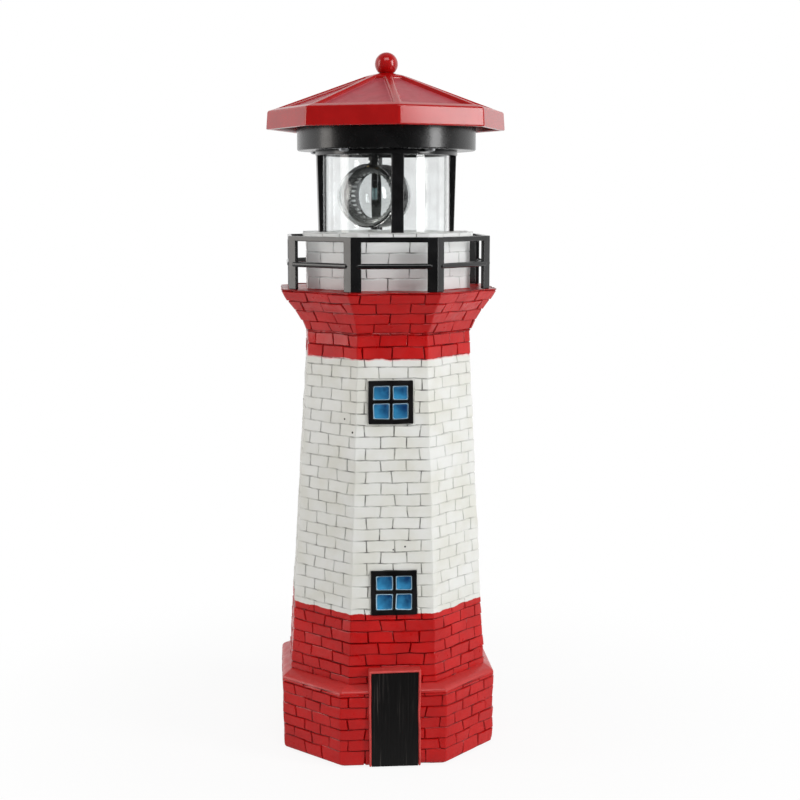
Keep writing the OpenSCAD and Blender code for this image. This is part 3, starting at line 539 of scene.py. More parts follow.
@dataclass(frozen=True)
class BoardMask:
    """Green solder mask over square copper tracks."""

    name: str = "board_mask"
    mask: Rgb = (14, 74, 38)
    track: Rgb = (34, 116, 60)

    def make(self) -> bpy.types.Material:
        """Builds the material.

        Returns:
            The finished material.
        """
        recipe = Recipe(self.name, self.mask, 0.3)
        links = {"Vector": recipe.where, "Scale": 1 / (3.0 * MM)}
        tiles = recipe.add("ShaderNodeTexVoronoi", links, distance="MANHATTAN", feature="F1")
        track = recipe.band(tiles.outputs["Distance"], 0.42, 0.5)
        recipe.paint(recipe.mix(track, self.track, self.mask))
        recipe.relief(track, 0.04)
        return recipe.material


@dataclass(frozen=True)
class CellSleeve:
    """Shrink sleeve of the cell: green with a dark band at the positive end."""

    name: str = "cell_sleeve"
    green: Rgb = (22, 122, 66)
    deep_green: Rgb = (18, 106, 56)
    dark: Rgb = (24, 30, 28)
    cap: Rgb = (190, 190, 186)
    end: float = 23.2
    band_at: float = 15.0

    def make(self) -> bpy.types.Material:
        """Builds the material.

        Returns:
            The finished material.
        """
        recipe = Recipe(self.name, self.green, 0.28, Coat_Weight=0.3)
        along = recipe.sums("MULTIPLY", recipe.axis("X"), 1 / MM)
        dark = recipe.band(along, self.band_at, self.band_at + 0.2)
        cap = recipe.band(along, self.end + 0.3, self.end + 0.4)
        clouds = recipe.mix(recipe.band(recipe.grain(6.0), 0.3, 0.7), self.green, self.deep_green)
        recipe.paint(recipe.mix(cap, recipe.mix(dark, clouds, self.dark), self.cap))
        recipe.relief(recipe.grain(2.0), 0.03)
        return recipe.material


class Finish(Enum):
    """Every finish of the object."""

    BRICK = BrickPaint()
    FRAME = Moulded("frame_paint", (6, 5, 7), 0.34, 1.2, 0.05, 0.3, 0.0, 0.35)
    PANE = PanePaint()
    DOOR = DoorPaint()
    # Door surround rim: a lighter pinkish red, partly paler paint at the edge and partly a painted highlight
    # along its rounded edge.
    RIM_PALE_PAINT_AND_HIGHLIGHT = Moulded("rim_pale_paint_and_highlight", (208, 66, 62), 0.36, 2.0, 0.1, 0.12)
    RAIL = Moulded("rail_plastic", (9, 9, 10), 0.2, 0.6, 0.012, 0.2, 0.3)
    HOUSING = Moulded("housing_plastic", (8, 8, 9), 0.26, 0.4, 0.002, 0.2, 0.15)
    CAGE = Moulded("cage_plastic", (10, 10, 12), 0.22, 0.6, 0.01, 0.2, 0.2)
    SEAT = Moulded("seat_plastic", (226, 226, 222), 0.35, 0.8, 0.01, 0.04)
    ROOF = Moulded("roof_plastic", (172, 8, 8), 0.2, 1.4, 0.003, 0.05, 0.2)
    RIB = Moulded("roof_rib", (176, 9, 12), 0.22, 1.4, 0.002, 0.05, 0.0, 0.26)
    # Sunk roof panels: rougher, in a pinker red that stands for a painted reflection of the white
    # surroundings at a grazing angle.
    PANEL_SHEEN = Moulded("roof_panel_sheen", (182, 66, 76), 0.42, 1.0, 0.01, 0.06, 0.0, 0.4)
    GLASS = ClearPlastic("clear_cylinder", (250, 252, 252))
    DOME = ClearPlastic("clear_dome", (250, 252, 252), 0.01, 1.49)
    BEACON = Moulded("beacon_plastic", (8, 8, 9), 0.14, 0.6, 0.003, 0.2, 0.4)
    BASE = Moulded("base_plastic", (34, 34, 35), 0.5, 0.35, 0.03)
    RUBBER = Moulded("rubber", (18, 18, 18), 0.8, 0.6, 0.04)
    REFLECTOR = Metal("satin_reflector", (176, 176, 174), 0.22)
    TEETH = Metal("polished_teeth", (250, 250, 248), 0.12)
    STEEL = Metal("plated_steel", (196, 198, 202))
    CAN = Metal("drawn_can", (184, 186, 188), 0.24, (1.0, 1.0, 14.0))
    AXLE = Metal("ground_axle", (206, 208, 210), 0.16, (1.0, 1.0, 20.0))
    BRASS = Metal("brass", (206, 172, 96), 0.24)
    NYLON = Moulded("gear_nylon", (226, 220, 198), 0.42, 0.5, 0.02, 0.06)
    SOLAR = SolarCells()
    BOARD = BoardMask()
    PARTS = Moulded("part_case", (26, 26, 30), 0.45, 0.3, 0.02)
    CELL = CellSleeve()
    SLEEVE = Moulded("lead_sleeve", (150, 20, 18), 0.4, 0.8, 0.02)
    LAMP = ClearPlastic("lamp_epoxy", (120, 144, 146), 0.04, 1.5)
    CAP = Moulded("switch_cap", (70, 70, 74), 0.45, 0.4, 0.02)


MADE: dict[Finish, bpy.types.Material] = {}


def dressed(mesh: bpy.types.Mesh, finishes: Iterable[Finish]) -> None:
    """Gives a mesh its materials, each made once.

    Args:
        mesh: The mesh.
        finishes: The finishes in the order of the faces' material index.
    """
    for each in finishes:
        if each not in MADE:
            MADE[each] = each.value.make()
        mesh.materials.append(MADE[each])


# ---------------------------------------------------------------- shaping


class Form:
    """One piece's mesh while it is shaped, in millimetres."""

    def __init__(self) -> None:
        """Starts with nothing."""
        self.bm = bmesh.new()

    def turned(self, profile: Iterable[Flat], steps: int = 96, at: Flat = (0, 0)) -> "Form":
        """Turns a closed profile of (radius, height) points about an upright axis.

        Args:
            profile: The points in order; the last joins the first unless both lie on the axis.
            steps: Facets round the axis.
            at: Where the axis stands.

        Returns:
            This form.
        """
        bm = bmesh.new()
        points = list(profile)
        verts = [bm.verts.new((r, 0, z)) for r, z in points]
        pairs = list(zip(verts, verts[1:]))
        if points[0][0] > 0 or points[-1][0] > 0:
            pairs.append((verts[-1], verts[0]))
        edges = [bm.edges.new(pair) for pair in pairs]
        bmesh.ops.spin(bm, geom=verts + edges, cent=(0, 0, 0), axis=(0, 0, 1), angle=TAU,
                       steps=steps, use_merge=True)
        bmesh.ops.remove_doubles(bm, verts=bm.verts, dist=1e-4)
        bmesh.ops.recalc_face_normals(bm, faces=bm.faces)
        bmesh.ops.translate(bm, verts=bm.verts, vec=(*at, 0))
        return self.take(bm)

    def prism(self, outline: Iterable[Flat], low: float, high: float) -> "Form":
        """Raises a flat outline from one height to another.

        Args:
            outline: The corners in order.
            low: Height of the bottom.
            high: Height of the top.

        Returns:
            This form.
        """
        bm = bmesh.new()
        face = bm.faces.new([bm.verts.new((x, y, low)) for x, y in outline])
        out = bmesh.ops.extrude_face_region(bm, geom=[face])["geom"]
        bmesh.ops.translate(bm, verts=verts_of(out), vec=(0, 0, high - low))
        bmesh.ops.recalc_face_normals(bm, faces=bm.faces)
        return self.take(bm)

    def block(self, low: Iterable[float], high: Iterable[float]) -> "Form":
        """A box between two corners."""
        (x0, y0, z0), (x1, y1, z1) = low, high
        return self.prism([(x0, y0), (x1, y0), (x1, y1), (x0, y1)], z0, z1)

    def rod(self, start: Vector, end: Vector, radius: float, sides: int = 24) -> "Form":
        """A straight round bar between two points.

        Args:
            start: Middle of one end.
            end: Middle of the other end.
            radius: The bar's radius.
            sides: Facets round the bar.

        Returns:
            This form.
        """
        turn = (end - start).to_track_quat("Z", "Y").to_matrix().to_4x4()
        bm = bmesh.new()
        bmesh.ops.create_cone(bm, cap_ends=True, segments=sides, radius1=radius, radius2=radius,
                              depth=(end - start).length,
                              matrix=Matrix.Translation((start + end) / 2) @ turn)
        return self.take(bm)

    def take(self, other: "bmesh.types.BMesh | Form") -> "Form":
        """Adds another mesh to this one, and frees it.

        Args:
            other: The mesh or form to add.

        Returns:
            This form.
        """
        source = other.bm if isinstance(other, Form) else other
        mesh = bpy.data.meshes.new("part")
        source.to_mesh(mesh)
        source.free()
        self.bm.from_mesh(mesh)
        bpy.data.meshes.remove(mesh)
        return self

    def place(self, matrix: Matrix) -> "Form":
        """Moves or turns the whole form."""
        self.bm.transform(matrix)
        return self

    def soften(self, width: float, segments: int = 2, angle: float = 35.0) -> "Form":
        """Rounds every edge sharper than an angle.

        Args:
            width: How far the rounding reaches.
            segments: Steps of the rounding.
            angle: Edges flatter than this stay, in degrees.

        Returns:
            This form.
        """
        sharp = [e for e in self.bm.edges if e.is_manifold and e.calc_face_angle(0) > math.radians(angle)]
        bmesh.ops.bevel(self.bm, geom=sharp, offset=width, segments=segments, profile=0.5,
                        affect="EDGES", material=-1, clamp_overlap=True)
        return self

    def wobble(self, size: float, amount: float, keep: Callable[[Vector], bool] | None = None) -> "Form":
        """Moves every vertex a little with smooth noise, as hand-made moulds have it.

        Args:
            size: Width of one wave in millimetres.
            amount: Largest movement in millimetres.
            keep: Says which places stay where they are.

        Returns:
            This form.
        """
        for v in self.bm.verts:
            if keep is None or not keep(v.co):
                v.co += noise.noise_vector(v.co / size) * amount
        return self

    def piece(self, name: str, body: Body, node: str, slot: str, finishes: Iterable[Finish],
              angle: float = 38.0) -> None:
        """Turns the form into a piece of the object.

        Args:
            name: The piece's name.
            body: The body that it rides on.
            node: The frame node that it stands for.
            slot: The record's material slot; not used.
            finishes: The finishes, in the order of the faces' material index.
            angle: Edges sharper than this stay crisp.
        """
        self.bm.normal_update()
        for e in self.bm.edges:
            e.smooth = not (e.is_manifold and e.calc_face_angle(0) > math.radians(angle))
        for f in self.bm.faces:
            f.smooth = True
        self.bm.transform(Matrix.Scale(MM, 4))
        mesh = bpy.data.meshes.new(name)
        self.bm.to_mesh(mesh)
        self.bm.free()
        dressed(mesh, finishes)
        obj = stand(name, mesh)
        obj.modifiers.new("even_shading", "WEIGHTED_NORMAL").keep_sharp = True
        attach(obj, body.value)
        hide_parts(node)
        LOG.info("%s: %d faces on %s", name, len(mesh.polygons), body.value)


def octagon(radius: float, turn: float) -> list[Flat]:
    """The corners of a regular octagon, counter-clockwise from an angle in degrees."""
    angles = [math.radians(turn) + TAU * i / SIDES for i in range(SIDES)]
    return [(radius * math.cos(a), radius * math.sin(a)) for a in angles]


def cut_square(half: float, apothem: float) -> list[Flat]:
    """The eight corners of a square with cut corners, counter-clockwise.

    Args:
        half: Half the width of a square side.
        apothem: How far the square sides lie from the middle.

    Returns:
        The corners.
    """
    quarter = [(half, -apothem), (apothem, -half)]
    spun = list(quarter)
    for _ in range(3):
        quarter = [(-y, x) for x, y in quarter]
        spun += quarter
    return spun


def upright(degrees: float) -> Matrix:
    """A turn about the upright axis."""
    return Matrix.Rotation(math.radians(degrees), 4, "Z")


def verts_of(geometry: Iterable) -> list:
    """The vertices in an operator's output."""
    return [each for each in geometry if isinstance(each, bmesh.types.BMVert)]


def edges_of(geometry: Iterable) -> list:
    """The edges in an operator's output."""
    return [each for each in geometry if isinstance(each, bmesh.types.BMEdge)]


def grown(bm: bmesh.types.BMesh, edges: list) -> tuple[list, list]:
    """Raises a skin from a ring of edges.

    Args:
        bm: The mesh.
        edges: The ring.

    Returns:
        The new ring's vertices and its edges.
    """
    out = bmesh.ops.extrude_edge_only(bm, edges=edges)["geom"]
    fresh = verts_of(out)
    return fresh, [e for e in edges_of(out) if set(e.verts) <= set(fresh)]


def ringed(bm: bmesh.types.BMesh, edges: list, radius: float, height: float) -> list:
    """Raises a skin from a ring of edges about the upright axis to another radius and height.

    Args:
        bm: The mesh.
        edges: The ring.
        radius: The new ring's radius.
        height: The new ring's height.

    Returns:
        The new ring's edges.
    """
    fresh, edges = grown(bm, edges)
    for v in fresh:
        flat = Vector((v.co.x, v.co.y, 0)).normalized() * radius
        v.co = (flat.x, flat.y, height)
    return edges


def arch(radius: float, start: float, steps: int, middle: float = 0.0) -> list[Flat]:
    """Points on a round arch from an angle up to the axis, which it leaves out.

    Args:
        radius: The arch's radius.
        start: Angle above the level, in radians.
        steps: Parts of the arch.
        middle: Height of the arch's middle.

    Returns:
        Points of radius and height.
    """
    angles = [start + (TAU / 4 - start) * i / steps for i in range(steps)]
    return [(radius * math.cos(a), middle + radius * math.sin(a)) for a in angles]


# ---------------------------------------------------------------- tower


@dataclass(frozen=True)
class Carving:
    """How deep and how evenly one part of the casting is carved, in millimetres.

    core is half of a joint's flat bottom and flank the width of its side. depth is how deep upright
    joints are, and bed_share the part of it that bed joints have. lift and tilt are how far single
    bricks stand out or lean, slant is in degrees, drift moves an upright joint along.
    """

    core: float
    flank: float
    depth: float
    bed_share: float
    lift: float
    tilt: float
    slant: float
    drift: float


CRISP = Carving(0.22, 0.24, 0.55, 0.38, 0.07, 0.1, 6.0, 0.7)
ROUGH = Carving(0.17, 0.34, 0.7, 0.85, 0.22, 0.3, 11.0, 1.3)

BAND_STRIDE = 1000
COURSE_ZERO = 100


@dataclass(frozen=True)
class Courses:
    """One band of brickwork: where it lies and how its bricks are laid.

    line is the height of a bed joint whose course above has a joint in the middle of the square
    faces. Bricks on the four diagonal faces have a length of their own. shift moves the upright
    joints of the square faces along. sill and cap are the lowest course heights that are still cut
    at the band's ends, and margin is how near to a corner an upright joint may come.
    """

    low: float
    high: float
    line: float
    pitch: float
    square_brick: float
    diagonal_brick: float
    shift: float = 0.0
    sill: float = 0.7
    cap: float = 0.7
    margin: float = 2.2

    def beds(self) -> list[float]:
        """Heights of the bed joints inside the band.

        Returns:
            The heights, lowest first.
        """
        first = math.ceil((self.low + self.sill - self.line) / self.pitch)
        last = math.floor((self.high - self.cap - self.line) / self.pitch)
        return [self.line + self.pitch * i for i in range(first, last + 1)]

    def course(self, z: float) -> int:
        """The number of the course at a height, the same for a course cut short at an end.

        Args:
            z: A height inside the band.

        Returns:
            The course's number.
        """
        beds = self.beds()
        if not beds:
            return 0
        first = round((beds[0] - self.line) / self.pitch)
        return first - 1 + sum(bed < z for bed in beds)

    def joints(self, course: int, sector: int, half: float) -> list[float]:
        """Places of the upright joints on a face, from its middle.

        Args:
            course: The course's number.
            sector: The face's number, 0 in front, counter-clockwise.
            half: Half the face's width at this height.

        Returns:
            Distances along the face.
        """
        diagonal = sector % 2
        length = self.diagonal_brick if diagonal else self.square_brick
        start = length / 2 if (course + diagonal) % 2 else 0.0
        places = [start + length * i + self.shift * (1 - diagonal) for i in range(-3, 4)]
        return [s for s in places if abs(s) < half - self.margin]


@dataclass
class TowerCasting:
    """The cast tower with its carved bricks, gallery, drum and door surround."""

    lift: float = 0.8
    plinth: float = 55.5
    plinth_half: float = 27.0
    shoulder: float = 39.0
    shaft: float = 42.6
    shaft_half: float = 22.2
    shaft_apothem: float = 50.8
    collar: float = 207.0
    collar_half: float = 17.6
    collar_apothem: float = 41.8
    flare: float = 219.0
    gallery: float = 240.8
    gallery_apothem: float = 54.7
    drum: float = 41.6
    slab: float = 43.0
    slab_low: float = 266.5
    deck: float = 269.3
    socket: float = 38.9
    socket_floor: float = 267.1
    well: float = 34.5
    hollow_top: float = 236.8
    hollow_half: float = 16.3
    foot_half: float = 24.7
    base_line: float = 78.6
    foot_shift: float = -0.8
    corner_round: float = 0.6
    edge_step: float = 3.0
    most_cuts: int = 5
    margin: float = 0.2
    outer_reach: float = 41.0
    steepest: float = 0.85
    facing_front: float = -0.95
    facet_slack: float = 0.12
    rim_width: float = 1.2
    rim_parts: int = 12
    waves: tuple[Flat, ...] = ((9.0, 0.42), (2.6, 0.1))
    true_foot: float = 3.0
    true_inside: float = 40.5
    true_door: Flat = (12.0, 50.0)
    true_deck: Flat = (267.0, 42.0)
    chance: random.Random = field(default_factory=lambda: random.Random(NOISE_SEED))

    def bands(self) -> list[Courses]:
        """The bands of brickwork.

        Returns:
            The bands from the ground up.
        """
        return [
            Courses(self.lift, self.shoulder, 14.5, 5.7, 15.4, 12.4, sill=4.0),
            Courses(self.shaft, self.collar, 86.9, 5.81, 13.9, 13.2),
            Courses(self.collar, self.flare, 207.2, 6.0, 15.0, 12.3),
            Courses(self.flare, self.gallery, 224.9, 5.05, 16.4, 14.6, -1.0),
            Courses(self.gallery, self.slab_low, 253.25, 6.15, 20.4, 17.0, -2.4),
            Courses(self.slab_low, self.deck, self.slab_low, 9.0, 11.6, 11.6),
        ]

    def carving(self, z: float) -> Carving:
        """The carving at a height: rough where the casting is red, crisp where it is white."""
        return ROUGH if z < self.base_line or self.collar < z < self.gallery else CRISP

    def rings(self) -> list[tuple[float, float, float]]:
        """The casting's outside.

        Returns:
            Height, half width and front distance of each ring, from the ground to the deck.
        """
        top, foot, half = self.gallery_apothem, self.plinth, self.plinth_half
        drum, slab = (self.drum * OCTAGON, self.drum), (self.slab * OCTAGON, self.slab)
        return [
            (self.lift, half - 1.12, foot - 2.3), (self.lift + 0.8, half - 0.28, foot - 1.1),
            (self.lift + 2.6, half, foot - 0.7), (self.shoulder, half, foot),
            (self.shoulder + 0.9, half - 0.2, foot - 0.3), (self.shoulder + 1.7, half - 0.8, foot - 1.1),
            (self.shoulder + 2.5, half - 1.9, foot - 2.3),
            (self.shaft + 0.2, self.shaft_half, self.shaft_apothem),
            (self.collar, self.collar_half, self.collar_apothem),
            (self.flare, self.collar_half, self.collar_apothem),
            (self.flare + 6.1, 18.8, 44.8), (self.flare + 12.4, 20.4, 48.8),
            (self.flare + 18.3, (top - 1.6) * OCTAGON, top - 1.6),
            (self.gallery - 1.2, top * OCTAGON, top - 0.2), (self.gallery, top * OCTAGON, top),
            (self.gallery, *drum), (self.slab_low, *drum), (self.slab_low, *slab), (self.deck, *slab),
        ]

    def lining(self) -> list[tuple[float, float, float]]:
        """The casting's inside.

        Returns:
            Height, half width and front distance of each ring, from the gallery floor down.
        """
        inner = self.plinth - 5.2
        return [
            (self.hollow_top, self.hollow_half, 38.6), (self.collar, self.hollow_half, 38.6),
            (self.shaft, 20.9, self.shaft_apothem - 3.2), (self.shoulder - 3.2, self.foot_half, inner),
            (self.lift, self.foot_half, inner),
        ]

    def stand(self, z: float) -> float:
        """How far the outside stands to the left at a height, as the casting is not quite true."""
        return self.foot_shift * min(1.0, max(0.0, (self.collar - z) / (self.collar - self.shaft)))

    def width_at(self, z: float) -> tuple[float, float]:
        """Half widths of the faces at a height.

        Args:
            z: The height.

        Returns:
            Half the width of the square faces, and of the diagonal ones.
        """
        rings = self.rings()
        for (z0, a0, b0), (z1, a1, b1) in zip(rings, rings[1:]):
            if z0 <= z <= z1 and z1 > z0:
                t = (z - z0) / (z1 - z0)
                a, b = a0 + (a1 - a0) * t, b0 + (b1 - b0) * t
                return a, (b - a) / math.sqrt(2)
        return self.slab * OCTAGON, self.slab * OCTAGON

    def loft(self, bm: bmesh.types.BMesh, rings: list) -> tuple[list, list]:
        """Raises a skin through rings of eight corners.

        Args:
            bm: The mesh to add to.
            rings: Height, half width and front distance of each ring.

        Returns:
            The last ring's edges, and the edges that run up the corners.
        """
        columns: list = []
        verts = [bm.verts.new((x, y, rings[0][0])) for x, y in cut_square(*rings[0][1:])]
        edges = [bm.edges.new((verts[i - 1], verts[i])) for i in range(SIDES)]
        for z, half, apothem in rings[1:]:
            fresh, edges = grown(bm, edges)
            columns += [e for v in fresh for e in v.link_edges if e.other_vert(v) not in fresh]
            spots = sorted(cut_square(half, apothem), key=lambda p: math.atan2(p[1], p[0]))
            for v, (x, y) in zip(sorted(fresh, key=lambda v: math.atan2(v.co.y, v.co.x)), spots):
                v.co = (x, y, z)
        return edges, columns

    def skin(self) -> bmesh.types.BMesh:
        """The closed casting before its bricks are cut, with softened corners.

        Returns:
            The casting, its elements in order.
        """
        bm = bmesh.new()
        top, columns = self.loft(bm, self.rings())
        bmesh.ops.bevel(bm, geom=columns, offset=self.corner_round, segments=2, profile=0.5,
                        affect="EDGES", material=-1)
        for v in bm.verts:
            v.co.x += self.stand(v.co.z)
        top = [e for e in bm.edges if e.is_boundary and min(v.co.z for v in e.verts) > self.slab_low]
        foot = [e for e in bm.edges if e.is_boundary and e not in top]
        mouth = bmesh.ops.create_circle(bm, segments=64, radius=self.socket,
                                        matrix=Matrix.Translation((0, 0, self.deck)))["verts"]
        rim = only(e for v in mouth for e in v.link_edges)
        bmesh.ops.bridge_loops(bm, edges=top + rim)
        for radius, z in ((self.socket, self.socket_floor), (self.well, self.socket_floor),
                          (self.well, self.hollow_top)):
            rim = ringed(bm, rim, radius, z)
        low, _ = self.loft(bm, self.lining())
        lined = [e for e in bm.edges if e.is_boundary and e not in rim and e not in foot and e not in low]
        bmesh.ops.bridge_loops(bm, edges=rim + lined)
        bmesh.ops.bridge_loops(bm, edges=foot + low)
        bmesh.ops.recalc_face_normals(bm, faces=bm.faces)
        return settled(bm)

    def outside(self, face: bmesh.types.BMFace) -> bool:
        """Says whether a face belongs to the upright outside of the casting.

        Args:
            face: A face of the casting.

        Returns:
            True outside.
        """
        middle = face.calc_center_median()
        flat = Vector((middle.x, middle.y, 0))
        upright_enough = abs(face.normal.z) < self.steepest
        return face.normal.dot(flat) > 0 and upright_enough and flat.length > self.outer_reach

    def cut_openings(self, bm: bmesh.types.BMesh, plain: object) -> None:
        """Cuts the outline behind each window and the door, and marks those faces.

        Args:
            bm: The casting.
            plain: Face layer that marks what has no bricks.
        """
        near = self.margin
        for low, high in (box_mm("upper_window_frame"), box_mm("lower_window_frame"), box_mm("door")):
            sides = [(ACROSS, low.x, -1), (ACROSS, high.x, 1), (UP, low.z, -1), (UP, high.z, 1)]
            for normal, at, side in sides:
                faces = [f for f in bm.faces if f.normal.y < self.facing_front and self.outside(f)
                         and min(v.co.z for v in f.verts) < high.z + near
                         and max(v.co.z for v in f.verts) > low.z - near]
                cut(bm, faces, normal * (at + side * near), normal)
            for f in bm.faces:
                c = f.calc_center_median()
                if (f.normal.y < self.facing_front and self.outside(f)
                        and low.x - near < c.x < high.x + near and low.z - near < c.z < high.z + near):
                    f[plain] = 1

    def rows(self, bm: bmesh.types.BMesh, band: Courses, marks: tuple) -> dict:
        """Sorts a band's faces by course and by the side of the tower they lie on.

        Args:
            bm: The casting.
            band: The band of brickwork.
            marks: The layer of plain faces, the layer of course numbers and the band's number.

        Returns:
            The faces for each course and side, without those of the rounded corners.
        """
        plain, course_of, number = marks
        rows: dict[tuple[int, int], list] = {}
        for f in bm.faces:
            middle = f.calc_center_median()
            if self.outside(f) and not f[plain] and band.low < middle.z < band.high:
                course = band.course(middle.z)
                f[course_of] = BAND_STRIDE * number + COURSE_ZERO + course
                turn = (math.degrees(math.atan2(f.normal.y, f.normal.x)) + 90) / SIDE_TURN
                sector = round(turn) % SIDES
                off = (turn - sector + SIDES / 2) % SIDES - SIDES / 2
                if abs(off) < self.facet_slack:
                    rows.setdefault((course, sector), []).append(f)
        return rows

    def lay_bricks(self, bm: bmesh.types.BMesh) -> list[list[bmesh.types.BMFace]]:
        """Cuts bed joints and upright joints.

        Args:
            bm: The casting.

        Returns:
            Each brick's faces.
        """
        joint = bm.edges.layers.int.new("joint")
        course_of = bm.faces.layers.int.new("course")
        plain = bm.faces.layers.int.new("plain")
        self.cut_openings(bm, plain)
        for number, band in enumerate(self.bands(), 1):
            for bed in band.beds():
                faces = [f for f in bm.faces if self.outside(f) and not f[plain]
                         and band.low <= f.calc_center_median().z <= band.high]
                for e in cut(bm, faces, UP * bed, UP):
                    e[joint] = Joint.BED.value
            rows = self.rows(bm, band, (plain, course_of, number))
            for (course, sector), faces in sorted(rows.items(), key=lambda row: row[0]):
                z = sum(f.calc_center_median().z for f in faces) / len(faces)
                half = self.width_at(z)[sector % 2]
                style = self.carving(z)
                along = upright(SIDE_TURN * sector) @ ACROSS
                for s in band.joints(course, sector, half):
                    lean = math.radians(style.slant) * self.chance.uniform(-1, 1)
                    place = along * (s + style.drift * self.chance.uniform(-1, 1)) + UP * z
                    edges = cut(bm, faces, place, along * math.cos(lean) + UP * math.sin(lean))
                    for e in edges:
                        e[joint] = Joint.UPRIGHT.value
                    faces = only(faces + [f for e in edges for f in e.link_faces])
        return self.collect(bm, joint, course_of)

    def collect(self, bm: bmesh.types.BMesh, joint: object, course_of: object) -> list[list]:
        """Groups the faces that no joint parts into bricks.

        Args:
            bm: The casting.
            joint: Edge layer that marks the joints.
            course_of: Face layer with the course numbers.

        Returns:
            Each brick's faces.
        """
        bricks, seen = [], set()
        for seed in bm.faces:
            if not seed[course_of] or seed in seen:
                continue
            brick, queue = [], [seed]
            seen.add(seed)
            while queue:
                face = queue.pop()
                brick.append(face)
                for e in face.edges:
                    if e[joint]:
                        continue
                    for f in e.link_faces:
                        if f not in seen and f[course_of] == seed[course_of]:
                            seen.add(f)
                            queue.append(f)
            bricks.append(brick)
        return bricks

    def carve(self, bm: bmesh.types.BMesh) -> None:
        """Cuts the joints into the casting and rounds, lifts and tilts each brick a little.

        Args:
            bm: The casting.
        """
        bricks = self.lay_bricks(bm)
        joint = bm.edges.layers.int["joint"]
        course_of = bm.faces.layers.int["course"]
        by_cuts: dict[int, list] = {}
        for e in bm.edges:
            if e.calc_length() > 1.6 * self.edge_step and any(f[course_of] for f in e.link_faces):
                cuts = min(self.most_cuts, int(e.calc_length() / self.edge_step))
                by_cuts.setdefault(cuts, []).append(e)
        for cuts, edges in by_cuts.items():
            bmesh.ops.bisect_edges(bm, edges=edges, cuts=cuts)
        groove = bm.verts.layers.float.new("groove")
        depth = bm.verts.layers.float.new("depth")
        for e in bm.edges:
            if e[joint]:
                for v in e.verts:
                    style = self.carving(v.co.z)
                    share = 1.0 if e[joint] == Joint.UPRIGHT.value else style.bed_share
                    v[depth] = max(v[depth], share * style.depth)
                    v[groove] = max(v[groove], share)
        for brick in bricks:
            self.shape_brick(bm, brick, depth, groove)
        bm.normal_update()
        pushed = [(v, v.normal * -v[depth]) for v in bm.verts if v[depth]]
        for v, push in pushed:
            v.co += push

    def shape_brick(self, bm: bmesh.types.BMesh, brick: list, depth: object, groove: object) -> None:
        """Draws one brick in from its joints, with a lip on the way down, and sets it uneven.

        Args:
            bm: The casting.
            brick: The brick's faces.
            depth: Vertex layer with the depth that a vertex is pushed in by.
            groove: Vertex layer that darkens the joints.
        """
        corners = [v.co.copy() for f in brick for v in f.verts]
        low = Vector([min(c[i] for c in corners) for i in range(3)])
        high = Vector([max(c[i] for c in corners) for i in range(3)])
        middle, facing = (low + high) / 2, sum((f.normal for f in brick), Vector()).normalized()
        style = self.carving(middle.z)
        for width, share in ((style.core, 0.7), (style.flank, 0.0)):
            bmesh.ops.inset_region(bm, faces=brick, thickness=width, use_boundary=True,
                                   use_even_offset=True)
            for v in only(v for f in brick for v in f.verts):
                v.co = [min(max(c, a), b) for c, a, b in zip(v.co, low, high)]
                if share:
                    near = [e.other_vert(v) for e in v.link_edges]
                    v[depth] = share * max((w[depth] for w in near), default=0.0)
                    v[groove] = share * max((w[groove] for w in near), default=0.0)
                else:
                    v[depth] = v[groove] = 0.0
        lift = style.lift * self.chance.uniform(-1, 1)
        tilt = style.tilt * self.chance.uniform(-1, 1)
        tall = max(0.5, (high.z - low.z) / 2)
        for v in only(v for f in brick for v in f.verts):
            v.co += facing * (lift + tilt * (v.co.z - middle.z) / tall)

    def surround(self) -> Form:
        """The moulded rim round the door.

        Returns:
            The rim.
        """
        low, high = box_mm("door")
        rim, face, back = self.rim_width, low.y - 0.4, -46.0
        x, top = high.x + 0.1, high.z + 0.1
        outline = [(-x - rim, low.z), (-x, low.z), (-x, top), (x, top), (x, low.z), (x + rim, low.z),
                   (x + rim, top + rim), (-x - rim, top + rim)]
        form = Form().prism(outline, 0, face - back)
        form.place(Matrix.Translation((0, back, 0)) @ Matrix.Rotation(math.radians(90), 4, "X") @
                   Matrix.Scale(-1, 4, (0, 0, 1)))
        bmesh.ops.recalc_face_normals(form.bm, faces=form.bm.faces)
        for i in range(1, self.rim_parts):
            cut(form.bm, list(form.bm.faces), UP * (low.z + (top - low.z) * i / self.rim_parts), UP)
        form.soften(0.55, 2, 50.0)
        return form.wobble(11.0, 0.35, lambda p: p.z < 4)

    def build(self) -> None:
        """Carves the tower and dresses it."""
        bm = self.skin()
        self.carve(bm)
        form = Form().take(bm)
        for size, amount in self.waves:
            form.wobble(size, amount, self.fixed)
        rim = self.surround()
        # The door's rim gets the lighter red with its painted highlight.
        for f in rim.bm.faces:
            f.material_index = 1
        form.take(rim)
        form.piece("tower_casting", Body.TOWER, "tower_wall", "painted_brick_casting",
                   (Finish.BRICK, Finish.RIM_PALE_PAINT_AND_HIGHLIGHT), 50.0)

    def fixed(self, place: Vector) -> bool:
        """Says whether a place must stay true: the foot, the socket and the inside.

        Args:
            place: A place on the casting.

        Returns:
            True where nothing may move it.
        """
        reach = Vector((place.x, place.y)).length
        half, top = self.true_door
        deck, mouth = self.true_deck
        behind_door = abs(place.x) < half and place.z < top and place.y < 0
        inside = reach < self.true_inside or (place.z > deck and reach < mouth)
        return place.z < self.true_foot or behind_door or inside


def only(items: Iterable) -> list:
    """The items once each, in their order."""
    return list(dict.fromkeys(items))


def standing(bm: bmesh.types.BMesh) -> list:
    """The edges that climb by more than a millimetre."""
    return [e for e in bm.edges if abs(e.verts[0].co.z - e.verts[1].co.z) > 1]


